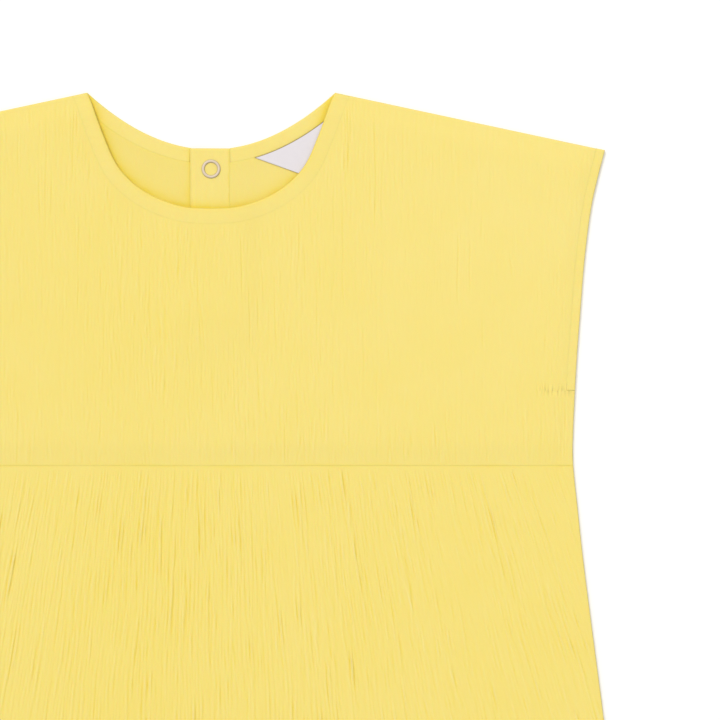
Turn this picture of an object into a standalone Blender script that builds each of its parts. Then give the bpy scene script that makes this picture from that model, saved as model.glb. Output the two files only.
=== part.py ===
"""A child's gauze top with cut-on cap sleeves and a gathered skirt, laid out flat on its back.

The garment lies as its sewn pieces lie on a table: the back pieces rest on the table, the
placket and the label lie on them, and the front pieces lie on top with a thin gap at the seams.

Every size is in millimetres and MM turns it into metres. A place on the garment is given by
`across`, from the centre line (+X), and `down`, from the high shoulder points towards the hem
(-Y). Heights are above the table (+Z).
"""

import math

import bmesh
import bpy
import numpy as np

MM = 0.001

# --- Driving dimensions ------------------------------------------------------------------

GARMENT_LENGTH = 410.0  # high shoulder point to the middle of the hem
WAIST = 186.5  # down to the seam between bodice and skirt
HEM_RISE = 12.0  # the hem's ends sit this much higher than its middle
NECK_HALF = 62.0  # centre line to a high shoulder point
SHOULDER_TIP_HALF = 197.0
SHOULDER_SLOPE = 0.2137
SHOULDER_TIP_DOWN = SHOULDER_SLOPE * (SHOULDER_TIP_HALF - NECK_HALF)
BACK_NECK_DROP = 28.3
ARMHOLE_END = 149.0

WALL = 1.2  # thickness of a cloth wall
SEAM_GAP = 0.3
FRONT_HEIGHT = WALL + SEAM_GAP  # the front's inside, where it is sewn to the back
FRONT_LIFT = 0.9  # how much higher the front's inside is away from its seams
LIFT_REACH = 12.0  # the width over which the front rises from a seam
PLACKET_LIFT = 1.1  # and how much higher still it is over the back's placket
LIFTED_HALF = 27.0  # across, where that ends
LIFTED_END = 140.0  # down, where that ends
LIFTED_SLOPE = (14.0, 34.0)  # across and down, the widths over which it fades

FRONT_BAND = 7.5
BACK_BAND = 7.0
ARMHOLE_BAND = 4.5
BAND_CROWN = 0.25  # how far a front band stands above its own edges
BAND_EDGE_SHARE = 0.14  # of a band's width, over which it rises to its crown
BAND_TURN = 14.0  # over this width next to a shoulder a neck band's end turns to run along it
ARMHOLE_STEP = 0.6  # over this length the side seam runs out to the armhole band's edge

PLACKET_WIDTH = 20.0
PLACKET_LENGTH = 75.0
PLACKET_THICKNESS = 1.5  # of the lower lap, which is folded double
PLACKET_OVERLAP = 0.8  # how far the upper lap reaches past the slit, over the back

SNAP_DOWN = 38.4
SNAP_OUTER_RADIUS = 5.0
SNAP_WIRE_WIDTH = 1.9
UPPER_RING_HEIGHT = 1.0
LOWER_RING_HEIGHT = 0.45
RING_SHOULDER = 0.35  # share of a ring's height up to which its sides are straight
RING_STEPS = 32

LABEL_REACH = (21.7, 59.0)  # across, of the two ends of its sewn edge
LABEL_DEPTH = 17.5
LABEL_THICKNESS = 0.5

SKIRT_RIDGES = 146
RIDGE_HEIGHT = 0.7
RIDGE_WOBBLE = (0.16, 0.14)  # how unevenly the ridges are spaced, in two slow waves
FAN_APEX = 545.0  # the gathers spread from a point this far above the waist seam
SKIRT_PLAIN = 3.5  # the smooth strip under the waist seam
SIDE_MARGIN = 0.9  # ridges end where they come this near to the skirt's side
HEM_DEPTH = 12.0
HEM_STEP = 0.4  # the turned hem stands this much proud
BODICE_RIDGE_HEIGHT = 0.4
BODICE_RIDGE_UNEVEN = 0.3  # share by which their heights vary
BODICE_RIDGE_FADE = 2.0  # rows over which they fade out at the top and the bottom
STRAIGHT_HALF = 160.0  # the bodice's columns are upright as far out as this

# The garment's side, from the sleeve's tip to the hem.
SIDE_OUTLINE = [  # down, half width
    (28.85, 197.0),
    (42.0, 193.6),
    (58.0, 190.1),
    (82.0, 187.0),
    (106.0, 185.0),
    (130.0, 183.2),
    (149.0, 182.1),
    (174.0, 181.0),
    (187.0, 181.2),
    (210.0, 183.6),
    (234.0, 186.2),
    (266.0, 190.3),
    (330.0, 198.6),
    (410.0, 208.0),
]

# The right half of the front neckline, from the centre to the high shoulder point.
FRONT_NECK = [  # across, down
    (0.0, 58.1),
    (13.0, 57.3),
    (26.0, 53.5),
    (36.5, 47.9),
    (44.0, 40.9),
    (48.6, 33.8),
    (52.7, 24.0),
    (56.4, 14.4),
    (59.6, 5.4),
    (NECK_HALF, 0.0),
]

# Bodice columns: as far out as this, a column this often.
BODICE_COLUMNS = [  # across, spacing
    (44.0, 4.0),
    (70.0, 2.4),
    (SHOULDER_TIP_HALF, 4.4),
]

# The bodice's rows, but for the two at the armhole's end, as shares of a column's length.
ROWS_BESIDE_ARMHOLE = (0.0, 0.05, 0.16, 0.3, 0.45, 0.6)
ROWS_BELOW_ARMHOLE = (0.88, 0.97, 1.0)

# The skirt's rows: how far down its length they lie, how high the ridges stand there and how
# much the turned hem adds.
HEM_START = 1.0 - HEM_DEPTH / (GARMENT_LENGTH - WAIST)
SKIRT_ROWS = [  # share down, ridge share, step
    (0.0, 0.0, 0.0),
    (SKIRT_PLAIN / (GARMENT_LENGTH - WAIST), 0.15, 0.0),
    (4 * SKIRT_PLAIN / (GARMENT_LENGTH - WAIST), 1.0, 0.0),
    (0.3, 0.9, 0.0),
    (0.55, 0.8, 0.0),
    (0.78, 0.7, 0.0),
    (HEM_START - 0.004, 0.55, 0.0),
    (HEM_START, 0.45, HEM_STEP),
    (1.0, 0.25, HEM_STEP),
]

# Where the gathers bunch up or lie flat, across the waist seam.
GATHER_CLUSTERS = [  # across, spread, extra height share
    (-150.0, 22.0, 0.3),
    (-95.0, 25.0, 0.35),
    (-60.0, 9.0, -0.3),
    (-25.0, 24.0, 0.35),
    (18.0, 7.0, 0.3),
    (34.0, 6.0, -0.4),
    (56.0, 12.0, 0.3),
    (73.0, 5.0, -0.35),
    (87.0, 8.0, 0.3),
    (120.0, 8.0, -0.35),
    (145.0, 15.0, 0.35),
]

CLOTH_COLOUR = (0.94, 0.76, 0.216)
LABEL_COLOUR = (0.81, 0.81, 0.77)
METAL_COLOUR = (0.62, 0.57, 0.56)


# --- Curves and outlines -----------------------------------------------------------------


def smooth_step(t):
    t = np.clip(t, 0.0, 1.0)
    return t * t * (3.0 - 2.0 * t)


def smooth_curve(points, steps=8):
    """Points along the Catmull-Rom curve through the given ones."""
    points = np.array(points, float)
    before = 2 * points[0] - points[1]
    after = 2 * points[-1] - points[-2]
    p = np.vstack([before, points, after])
    t = (np.arange(steps) / steps)[:, None]
    spans = [
        p[i]
        + 0.5 * t * (p[i + 1] - p[i - 1])
        + t**2 * (p[i - 1] - 2.5 * p[i] + 2 * p[i + 1] - 0.5 * p[i + 2])
        + t**3 * (1.5 * (p[i] - p[i + 1]) + 0.5 * (p[i + 2] - p[i - 1]))
        for i in range(1, len(points))
    ]
    return np.vstack([*spans, points[-1:]])


def evenly_spaced(points, count):
    """The same line again, as points an equal distance apart."""
    steps = np.linalg.norm(np.diff(points, axis=0), axis=1)
    along = np.concatenate([[0.0], np.cumsum(steps)])
    at = np.linspace(0.0, along[-1], count)
    return np.column_stack([np.interp(at, along, points[:, k]) for k in (0, 1)])


SIDE_CURVE = smooth_curve(SIDE_OUTLINE)


def side_edge(down):
    """Half the garment's width."""
    return np.interp(down, SIDE_CURVE[:, 0], SIDE_CURVE[:, 1])


def panel_side(down):
    """Half the width of a bodice panel, which stops short of the armhole band."""
    beside_band = np.interp(down, [ARMHOLE_END, ARMHOLE_END + ARMHOLE_STEP], [1.0, 0.0])
    return side_edge(down) - beside_band * (ARMHOLE_BAND + SEAM_GAP)


def shoulder(across):
    """How far down the shoulder line is."""
    return SHOULDER_SLOPE * (np.abs(across) - NECK_HALF)


def front_neck_edge(count):
    right = smooth_curve(FRONT_NECK)
    left = right[:0:-1] * [-1, 1]
    return evenly_spaced(np.vstack([left, right]), count)


def back_neck_edge(across):
    share = 1.0 - (across / NECK_HALF) ** 2
    return np.column_stack([across, BACK_NECK_DROP * share])


def set_back(edge, width):
    """A neck edge moved into the cloth by width, with its ends slid along the shoulder."""
    tangent = np.gradient(edge, axis=0)
    normal = np.column_stack([-tangent[:, 1], tangent[:, 0]])
    normal /= np.linalg.norm(normal, axis=1)[:, None]
    along_shoulder = np.column_stack(
        [np.sign(edge[:, 0]), np.full(len(edge), SHOULDER_SLOPE)]
    )
    along_shoulder /= math.hypot(1.0, SHOULDER_SLOPE)
    near_end = smooth_step(1.0 - (NECK_HALF - np.abs(edge[:, 0])) / BAND_TURN)[:, None]
    direction = (1 - near_end) * normal + near_end * along_shoulder
    direction /= np.linalg.norm(direction, axis=1)[:, None]
    return edge + width * direction


def front_inside(across, down):
    """The height of the front's inside, which rises off its seams and over the placket."""
    from_shoulder = (down - shoulder(across)) / math.hypot(1.0, SHOULDER_SLOPE)
    from_side = side_edge(down) - np.abs(across)
    from_waist = WAIST - down
    rise = (
        smooth_step(from_shoulder / LIFT_REACH)
        * smooth_step(from_side / LIFT_REACH)
        * smooth_step(from_waist / LIFT_REACH)
    )
    over_placket = smooth_step((LIFTED_HALF - np.abs(across)) / LIFTED_SLOPE[0])
    over_placket = over_placket * smooth_step((LIFTED_END - down) / LIFTED_SLOPE[1])
    return FRONT_HEIGHT + rise * (FRONT_LIFT + PLACKET_LIFT * over_placket)


# --- Building cloth ----------------------------------------------------------------------


def placed(across, down, height):
    """Garment places, in millimetres, as points of the part, in metres."""
    across, down, height = np.broadcast_arrays(across, down, height)
    points = [across, GARMENT_LENGTH / 2 - down, height]
    return np.stack(points, axis=-1) * MM


def cloth_material(name, colour, roughness, metallic=0.0):
    material = bpy.data.materials.new(name)
    material.use_nodes = True
    shader = material.node_tree.nodes["Principled BSDF"]
    shader.inputs["Base Color"].default_value = (*colour, 1.0)
    shader.inputs["Roughness"].default_value = roughness
    shader.inputs["Metallic"].default_value = metallic
    material.diffuse_color = (*colour, 1.0)
    return material


def add_object(name, mesh, material):
    obj = bpy.data.objects.new(name, mesh)
    mesh.materials.append(material)
    bpy.data.collections["gauze_top"].objects.link(obj)
    return obj


def mesh_of(name, points, faces):
    mesh = bpy.data.meshes.new(name)
    mesh.from_pydata(points.tolist(), [], faces)
    shell = bmesh.new()
    shell.from_mesh(mesh)
    bmesh.ops.recalc_face_normals(shell, faces=shell.faces)
    shell.to_mesh(mesh)
    shell.free()
    return mesh


def grid_faces(index):
    """The faces of a grid of vertex numbers; where numbers repeat, a face has fewer corners."""
    faces = []
    for upper, lower in zip(index[:-1], index[1:]):
        for k in range(len(upper) - 1):
            ring = (upper[k], upper[k + 1], lower[k + 1], lower[k])
            corners = list(dict.fromkeys(int(i) for i in ring))
            if len(corners) > 2:
                faces.append(corners)
    return faces


def rim_of(index):
    """The vertex numbers round a grid, in order, without repeats."""
    ring = [*index[0], *index[1:, -1], *index[-1, -2::-1], *index[-2:0:-1, 0]]
    return list(dict.fromkeys(int(i) for i in ring))


def wall(name, across, down, inside, outside, material):
    """A closed cloth wall over a grid of places, between two heights."""
    index = np.arange(across.size).reshape(across.shape)
    points = np.vstack(
        [placed(across, down, h).reshape(-1, 3) for h in (inside, outside)]
    )
    rim = rim_of(index)
    sides = [
        [a, b, b + across.size, a + across.size]
        for a, b in zip(rim, [*rim[1:], rim[0]])
    ]
    faces = grid_faces(index) + grid_faces(index + across.size) + sides
    return add_object(name, mesh_of(name, points, faces), material)


def flat_piece(name, outline, bottom, thickness, material):
    """A flat piece of cloth with this outline, given thickness by Solidify."""
    points = placed(outline[:, 0], outline[:, 1], bottom)
    sheet = bpy.data.meshes.new(name)
    sheet.from_pydata(points.tolist(), [], [list(range(len(points)))])
    if sheet.polygons[0].normal.z < 0:
        sheet.flip_normals()
    obj = add_object(name, sheet, material)
    solidify = obj.modifiers.new("Thickness", "SOLIDIFY")
    solidify.thickness = thickness * MM
    solidify.offset = 1.0
    return obj


def band(name, free_edge, sewn_edge, inside, crown, material):
    """A turned band between two edges, raised between them by crown."""
    shares = np.array([0.0, BAND_EDGE_SHARE, 1.0 - BAND_EDGE_SHARE, 1.0])
    raised = crown * np.array([0.0, 1.0, 1.0, 0.0])
    places = free_edge[:, None] + shares[None, :, None] * (sewn_edge - free_edge)[:, None]
    across, down = places[..., 0], places[..., 1]
    heights = inside(across, down)
    return wall(name, across, down, heights, heights + WALL + raised[None, :], material)


def on_table(across, down):
    """The inside of a back band, which rests on the table."""
    return np.zeros(np.shape(across))


def on_back(across, down):
    """The inside of a front band that is sewn to the back all along."""
    return np.full(np.shape(across), FRONT_HEIGHT)


# --- Bodice ------------------------------------------------------------------------------


def column_places():
    """Where the bodice's columns stand at the waist, from the left side to the right."""
    edge = float(side_edge(WAIST))
    places = [0.0]
    for reach, spacing in BODICE_COLUMNS:
        reach = min(reach, edge)
        count = round((reach - places[-1]) / spacing)
        places += np.linspace(places[-1], reach, count + 1)[1:].tolist()
    right = np.array(places)
    return np.concatenate([-right[:0:-1], right])


def bodice_across(column, down):
    """A column's place across: upright in the middle, and following the side near it."""
    edge = float(side_edge(WAIST))
    share = (np.abs(column) - STRAIGHT_HALF) / (edge - STRAIGHT_HALF)
    outer = STRAIGHT_HALF + share * (panel_side(down) - STRAIGHT_HALF)
    return np.where(share > 0, np.sign(column) * outer, column)


def bodice_top(column, neck_line):
    """How far down each column starts, at the neck band or at the shoulder."""
    top = np.full(len(column), BACK_NECK_DROP)
    for _ in range(6):
        across = np.abs(bodice_across(column, top))
        under_neck = np.interp(across, neck_line[:, 0], neck_line[:, 1])
        top = np.where(across < neck_line[-1, 0], under_neck, shoulder(across))
    return top


def bodice_grid(neck_line):
    """Places across and down of the bodice's columns and rows."""
    column = column_places()
    top = bodice_top(column, neck_line)
    bottom = WAIST - SEAM_GAP / 2
    armhole = np.array([ARMHOLE_END, ARMHOLE_END + ARMHOLE_STEP])
    armhole_shares = (armhole - top[-1]) / (bottom - top[-1])
    share = np.array([*ROWS_BESIDE_ARMHOLE, *armhole_shares, *ROWS_BELOW_ARMHOLE])[:, None]
    down = top[None, :] + share * (bottom - top)[None, :]
    return bodice_across(column[None, :], down), down


def neck_line_right(edge, width):
    """The right half of a neck edge set back by width, ordered from the centre outwards."""
    line = set_back(edge, width)
    return line[line[:, 0] >= 0]


def front_bodice(material):
    neck = neck_line_right(front_neck_edge(121), FRONT_BAND + SEAM_GAP)
    across, down = bodice_grid(neck)
    inside = front_inside(across, down)
    rows, columns = across.shape
    from_end = np.minimum(np.arange(rows), np.arange(rows)[::-1])
    fade = np.clip(from_end / BODICE_RIDGE_FADE, 0.0, 1.0)[:, None]
    count = np.arange(columns)[None, :]
    wave = np.sin(1.7 * count + 2.3 * np.arange(rows)[:, None])
    uneven = 1.0 + BODICE_RIDGE_UNEVEN * (wave - 1.0)
    relief = BODICE_RIDGE_HEIGHT * fade * uneven * (count % 2)
    relief[:, [0, -1]] = 0.0
    wall("front_bodice", across, down, inside, inside + WALL + relief, material)


def back_outline(neck_line):
    """The back bodice's outline, round its slit, as (across, down)."""
    half_slit = PLACKET_WIDTH / 2 + SEAM_GAP
    start = np.interp(half_slit, neck_line[:, 0], neck_line[:, 1])
    beyond = neck_line[neck_line[:, 0] > half_slit + SEAM_GAP]
    tip = panel_side(SHOULDER_TIP_DOWN)
    armhole = np.linspace(SHOULDER_TIP_DOWN, ARMHOLE_END, 11)[1:]
    seam = np.linspace(ARMHOLE_END + ARMHOLE_STEP, WAIST - SEAM_GAP / 2, 4)
    side = np.concatenate([armhole, seam])
    slit_end = BACK_NECK_DROP + PLACKET_LENGTH + SEAM_GAP
    right = np.vstack(
        [
            [(half_slit, slit_end), (half_slit, start)],
            beyond,
            [(tip, shoulder(tip))],
            np.column_stack([panel_side(side), side]),
        ]
    )
    return np.vstack([right, right[::-1] * [-1, 1]])


def back_bodice(material):
    edge = back_neck_edge(np.linspace(-NECK_HALF, NECK_HALF, 61))
    neck = neck_line_right(edge, BACK_BAND + SEAM_GAP)
    flat_piece("back_bodice", back_outline(neck), 0.0, WALL, material)


# --- Bands -------------------------------------------------------------------------------


def front_neck_band(material):
    edge = front_neck_edge(57)
    sewn = set_back(edge, FRONT_BAND)
    band("front_neck_band", edge, sewn, front_inside, BAND_CROWN, material)


def back_neck_bands(material):
    start = PLACKET_WIDTH / 2 + SEAM_GAP
    for name, side in (("left", -1), ("right", 1)):
        edge = back_neck_edge(side * np.linspace(start, NECK_HALF, 18))
        if side < 0:
            edge = edge[::-1]
        sewn = set_back(edge, BACK_BAND)
        nearest = 0 if side > 0 else -1
        sewn[nearest, 0] = side * start
        band(f"back_neck_band_{name}", edge, sewn, on_table, 0.0, material)


def armhole_bands(material):
    """A turned band along each armhole, on the front and on the back."""
    share = np.linspace(0.0, 1.0, 14)
    end = ARMHOLE_END - SEAM_GAP
    outer_down = SHOULDER_TIP_DOWN + share * (end - SHOULDER_TIP_DOWN)
    inner_start = SHOULDER_TIP_DOWN - SHOULDER_SLOPE * ARMHOLE_BAND
    inner_down = inner_start + share * (end - inner_start)
    outer = np.column_stack([side_edge(outer_down), outer_down])
    inner = np.column_stack([side_edge(inner_down) - ARMHOLE_BAND, inner_down])
    layers = (("front", on_back, BAND_CROWN), ("back", on_table, 0.0))
    for layer, inside, crown in layers:
        for side_name, side in (("left", -1), ("right", 1)):
            name = f"{layer}_armhole_band_{side_name}"
            mirror = [side, 1]
            band(name, outer * mirror, inner * mirror, inside, crown, material)


# --- Skirt -------------------------------------------------------------------------------


def skirt_side(share):
    """Places down the skirt's side seam, for shares of its length."""
    return WAIST + SEAM_GAP / 2 + share * (GARMENT_LENGTH - HEM_RISE - WAIST - SEAM_GAP / 2)


def ridge_places():
    """Where ridges and the hollows between them start at the waist, unevenly spaced."""
    edge = float(side_edge(WAIST))
    count = 2 * SKIRT_RIDGES + 1
    number = np.arange(count)
    wobble = RIDGE_WOBBLE[0] * np.sin(0.9 * number)
    wobble += RIDGE_WOBBLE[1] * np.sin(2.3 * number + 1.0)
    wobble[[0, -1]] = 0.0
    return (number + wobble) * 2 * edge / (count - 1) - edge


def ridge_strength(places):
    """How high the ridges stand across the skirt, as a share of the usual."""
    strength = np.ones(len(places))
    for across, spread, extra in GATHER_CLUSTERS:
        strength += extra * np.exp(-(((places - across) / spread) ** 2))
    return strength


def skirt_grid(places):
    """The skirt's places row by row, with one vertex number for columns past its side."""
    across, down, heights, index = [], [], [], []
    strength = ridge_strength(places) * (np.arange(len(places)) % 2)
    for share, ridge, step in SKIRT_ROWS:
        run = share * (GARMENT_LENGTH - WAIST)
        fanned = places * (1.0 + run / FAN_APEX)
        edge_down = skirt_side(share)
        edge = float(side_edge(edge_down))
        middle_down = WAIST + SEAM_GAP / 2 + share * (GARMENT_LENGTH - WAIST - SEAM_GAP / 2)
        inside = np.abs(fanned) < edge - SIDE_MARGIN
        row_down = middle_down - (middle_down - edge_down) * (fanned / edge) ** 2
        first = len(across)
        kept = np.flatnonzero(inside)
        across += [-edge, *fanned[kept], edge]
        down += [edge_down, *row_down[kept], edge_down]
        top = FRONT_HEIGHT + WALL + step
        heights += [top, *(top + RIDGE_HEIGHT * ridge * strength[kept]), top]
        row = np.full(len(places), first)
        row[kept[-1] + 1 :] = first + len(kept) + 1
        row[kept] = first + 1 + np.arange(len(kept))
        index.append(row)
    return np.array(across), np.array(down), np.array(heights), np.array(index)


def front_skirt(material):
    """Ridged outside over a flat inside, which is one face with the same rim."""
    across, down, heights, index = skirt_grid(ridge_places())
    rim = rim_of(index)
    outer = placed(across, down, heights)
    inner = placed(across[rim], down[rim], FRONT_HEIGHT)
    first = len(outer)
    count = len(rim)
    sides = [
        [rim[k], rim[(k + 1) % count], first + (k + 1) % count, first + k]
        for k in range(count)
    ]
    floor = [list(range(first, first + count))]
    faces = grid_faces(index) + sides + floor
    add_object(
        "front_skirt",
        mesh_of("front_skirt", np.vstack([outer, inner]), faces),
        material,
    )


def back_skirt(material):
    top = WAIST + SEAM_GAP / 2
    side = np.linspace(top, GARMENT_LENGTH - HEM_RISE, 10)
    edge = float(side_edge(side[-1]))
    hem_across = np.linspace(edge, 0.0, 13)[1:]
    hem = GARMENT_LENGTH - HEM_RISE * (hem_across / edge) ** 2
    right = np.vstack(
        [
            np.column_stack([side_edge(side), side]),
            np.column_stack([hem_across, hem]),
        ]
    )
    left = right[-2::-1] * [-1, 1]
    flat_piece("back_skirt", np.vstack([right, left]), 0.0, WALL, material)


# --- Placket, label and snap -------------------------------------------------------------


def rectangle(left, right, top, bottom):
    return np.array([(left, top), (right, top), (right, bottom), (left, bottom)])


def recess_cutter(name, radius, depth):
    """A round cutter that opens a recess from below, at the snap."""
    height = 2 * depth
    bpy.ops.mesh.primitive_cylinder_add(
        vertices=RING_STEPS,
        radius=radius * MM,
        depth=height * MM,
        location=placed(0.0, SNAP_DOWN, 0.0),
    )
    cutter = bpy.context.object
    cutter.name = name
    cutter.hide_render = True
    cutter.display_type = "WIRE"
    for collection in list(cutter.users_collection):
        collection.objects.unlink(cutter)
    bpy.data.collections["cutters"].objects.link(cutter)
    return cutter


def back_placket(material):
    """Two laps over the back's slit: the lower one fills it, the upper one lies on that."""
    half = PLACKET_WIDTH / 2
    bottom = BACK_NECK_DROP + PLACKET_LENGTH
    lower = flat_piece(
        "back_placket_lower",
        rectangle(-half, half, BACK_NECK_DROP, bottom),
        0.0,
        PLACKET_THICKNESS,
        material,
    )
    cut = lower.modifiers.new("Snap recess", "BOOLEAN")
    cut.object = recess_cutter(
        "snap_recess",
        SNAP_OUTER_RADIUS + SEAM_GAP,
        LOWER_RING_HEIGHT + SEAM_GAP,
    )
    flat_piece(
        "back_placket_upper",
        rectangle(-half, half + PLACKET_OVERLAP, BACK_NECK_DROP, bottom),
        PLACKET_THICKNESS + SEAM_GAP,
        WALL,
        material,
    )


def label(material):
    """A blank label with mitred ends, sewn along the edge of the right back neck band."""
    edge = back_neck_edge(np.linspace(-NECK_HALF, NECK_HALF, 121))
    line = neck_line_right(edge, BACK_BAND + SEAM_GAP)
    across = np.linspace(*LABEL_REACH, 12)
    sewn = np.column_stack([across, np.interp(across, line[:, 0], line[:, 1])])
    along = (sewn[-1] - sewn[0]) / np.linalg.norm(sewn[-1] - sewn[0])
    below = np.array([-along[1], along[0]])
    far_corner = sewn[-1] + LABEL_DEPTH * (below - along)
    near_corner = sewn[0] + LABEL_DEPTH * (below + along)
    outline = np.vstack([sewn, far_corner, near_corner])
    flat_piece("label", outline, WALL + SEAM_GAP, LABEL_THICKNESS, material)


def snap_ring(name, bottom, height, material):
    """A turned ring of flat-bottomed round section, lying at the snap."""
    middle = SNAP_OUTER_RADIUS - SNAP_WIRE_WIDTH / 2
    angles = np.radians([0, 45, 90, 135, 180])
    arc_across = middle + SNAP_WIRE_WIDTH / 2 * np.cos(angles)
    arc_height = height * (RING_SHOULDER + (1.0 - RING_SHOULDER) * np.sin(angles))
    profile = [(SNAP_OUTER_RADIUS, 0.0)]
    profile += list(zip(arc_across, arc_height))
    profile += [(SNAP_OUTER_RADIUS - SNAP_WIRE_WIDTH, 0.0)]
    points = [(r * MM, 0.0, z * MM) for r, z in profile[::-1]]
    edges = [(k, (k + 1) % len(points)) for k in range(len(points))]
    mesh = bpy.data.meshes.new(name)
    mesh.from_pydata(points, edges, [])
    ring = add_object(name, mesh, material)
    ring.location = placed(0.0, SNAP_DOWN, bottom)
    turn = ring.modifiers.new("Turn", "SCREW")
    turn.steps = RING_STEPS
    turn.render_steps = RING_STEPS
    turn.use_merge_vertices = True
    turn.merge_threshold = 0.00001
    turn.use_smooth_shade = True


def snap_rings(material):
    on_upper_lap = PLACKET_THICKNESS + SEAM_GAP + WALL + SEAM_GAP
    snap_ring("snap_ring_upper", on_upper_lap, UPPER_RING_HEIGHT, material)
    snap_ring("snap_ring_lower", 0.0, LOWER_RING_HEIGHT, material)


# --- The garment -------------------------------------------------------------------------


def build():
    for obj in list(bpy.data.objects):
        bpy.data.objects.remove(obj)
    for name in ("gauze_top", "cutters"):
        collection = bpy.data.collections.new(name)
        bpy.context.scene.collection.children.link(collection)

    front_cloth = cloth_material("front_cloth", CLOTH_COLOUR, 0.9)
    back_cloth = cloth_material("back_cloth", CLOTH_COLOUR, 0.9)
    band_cloth = cloth_material("band_cloth", CLOTH_COLOUR, 0.85)
    placket_cloth = cloth_material("placket_cloth", CLOTH_COLOUR, 0.85)
    skirt_cloth = cloth_material("skirt_cloth", CLOTH_COLOUR, 0.9)
    label_cloth = cloth_material("label_cloth", LABEL_COLOUR, 0.7)
    metal = cloth_material("snap_metal", METAL_COLOUR, 0.3, metallic=1.0)

    back_bodice(back_cloth)
    back_skirt(back_cloth)
    back_neck_bands(band_cloth)
    back_placket(placket_cloth)
    label(label_cloth)
    front_bodice(front_cloth)
    front_skirt(skirt_cloth)
    front_neck_band(band_cloth)
    armhole_bands(band_cloth)
    snap_rings(metal)


build()
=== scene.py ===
"""The looks of a child's gauze top, laid out flat: crinkled cotton, bands, placket, label and snap.

Each cloth piece is a thin shell on the form of its solid, with its crinkles, rolled edges and
stitches added. Sizes are in millimetres and MM turns them into metres. A place on the garment is
given by `across`, from the centre line (+X), and `down`, from the high shoulder points towards
the hem (-Y). Heights are above the table (+Z).
"""

import math

import bpy
import numpy as np
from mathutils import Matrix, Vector


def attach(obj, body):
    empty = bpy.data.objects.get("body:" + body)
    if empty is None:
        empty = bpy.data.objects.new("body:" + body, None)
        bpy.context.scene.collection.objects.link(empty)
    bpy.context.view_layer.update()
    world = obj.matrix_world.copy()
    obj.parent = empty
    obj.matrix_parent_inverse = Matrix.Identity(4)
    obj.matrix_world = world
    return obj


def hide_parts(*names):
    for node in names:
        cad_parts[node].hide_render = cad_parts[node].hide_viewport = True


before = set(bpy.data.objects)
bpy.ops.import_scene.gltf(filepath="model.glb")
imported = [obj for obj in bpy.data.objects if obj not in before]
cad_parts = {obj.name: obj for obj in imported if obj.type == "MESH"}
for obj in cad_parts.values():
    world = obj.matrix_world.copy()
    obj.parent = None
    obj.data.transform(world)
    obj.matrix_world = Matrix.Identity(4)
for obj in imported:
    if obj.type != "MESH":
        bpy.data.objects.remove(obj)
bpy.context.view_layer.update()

MM = 0.001

# --- The garment's sizes -----------------------------------------------------------------

# They are its solids' own, but for the laps, the snap and the label, which are a little finer.

GARMENT_LENGTH = 410.0
WAIST = 186.5
HEM_RISE = 12.0
NECK_HALF = 62.0
SHOULDER_TIP_HALF = 197.0
SHOULDER_SLOPE = 0.2137
SHOULDER_TIP_DOWN = SHOULDER_SLOPE * (SHOULDER_TIP_HALF - NECK_HALF)
BACK_NECK_DROP = 28.3
ARMHOLE_END = 149.0

WALL = 1.2
SEAM_GAP = 0.3
FRONT_HEIGHT = WALL + SEAM_GAP
FRONT_LIFT = 0.9
LIFT_REACH = 12.0
PLACKET_LIFT = 1.1
LIFTED_HALF = 27.0
LIFTED_END = 140.0
LIFTED_SLOPE = (14.0, 34.0)

FRONT_BAND = 7.5
BACK_BAND = 7.0
ARMHOLE_BAND = 4.5

PLACKET_HALF = 10.0
PLACKET_END = BACK_NECK_DROP + 75.0
LOWER_LAP_THICKNESS = 1.0
SNAP_DOWN = 38.2
SNAP_OUTER_RADIUS = 4.7
SNAP_WIRE = 1.5
UPPER_RING_HEIGHT = 0.75
LOWER_RING_HEIGHT = 0.45
LABEL_REACH = (21.7, 59.0)
LABEL_MITRE = (1.07, 0.95)  # of its ends, down and along, as shares of its depth
LABEL_DEPTH = 17.5
LABEL_HEIGHT = 1.5
LABEL_THICKNESS = 0.5
HEM_DEPTH = 12.0
FAN_APEX = 545.0

SIDE_OUTLINE = [  # down, half width
    (28.85, 197.0),
    (42.0, 193.6),
    (58.0, 190.1),
    (82.0, 187.0),
    (106.0, 185.0),
    (130.0, 183.2),
    (149.0, 182.1),
    (174.0, 181.0),
    (187.0, 181.2),
    (210.0, 183.6),
    (234.0, 186.2),
    (266.0, 190.3),
    (330.0, 198.6),
    (410.0, 208.0),
]
FRONT_NECK = [  # across, down
    (0.0, 58.1),
    (13.0, 57.3),
    (26.0, 53.2),
    (36.5, 47.2),
    (44.0, 40.2),
    (48.6, 33.4),
    (52.7, 24.0),
    (56.4, 14.4),
    (59.6, 5.4),
    (NECK_HALF, 0.0),
]

# --- How finely the shells are made ------------------------------------------------------

BODICE_STEP = 0.3  # between columns
BODICE_ROWS = 62
SKIRT_STEP = 0.24  # between columns at the waist
SKIRT_ROWS = 58
BACK_STEP = 0.5
BACK_SKIRT_STEP = 0.36
BACK_ROWS = 46
RING_TURNS = 96
EDGE_STEPS = (0.0, 0.1, 0.25, 0.45, 0.8, 1.4, 2.4)  # from an edge, for its roll

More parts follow.
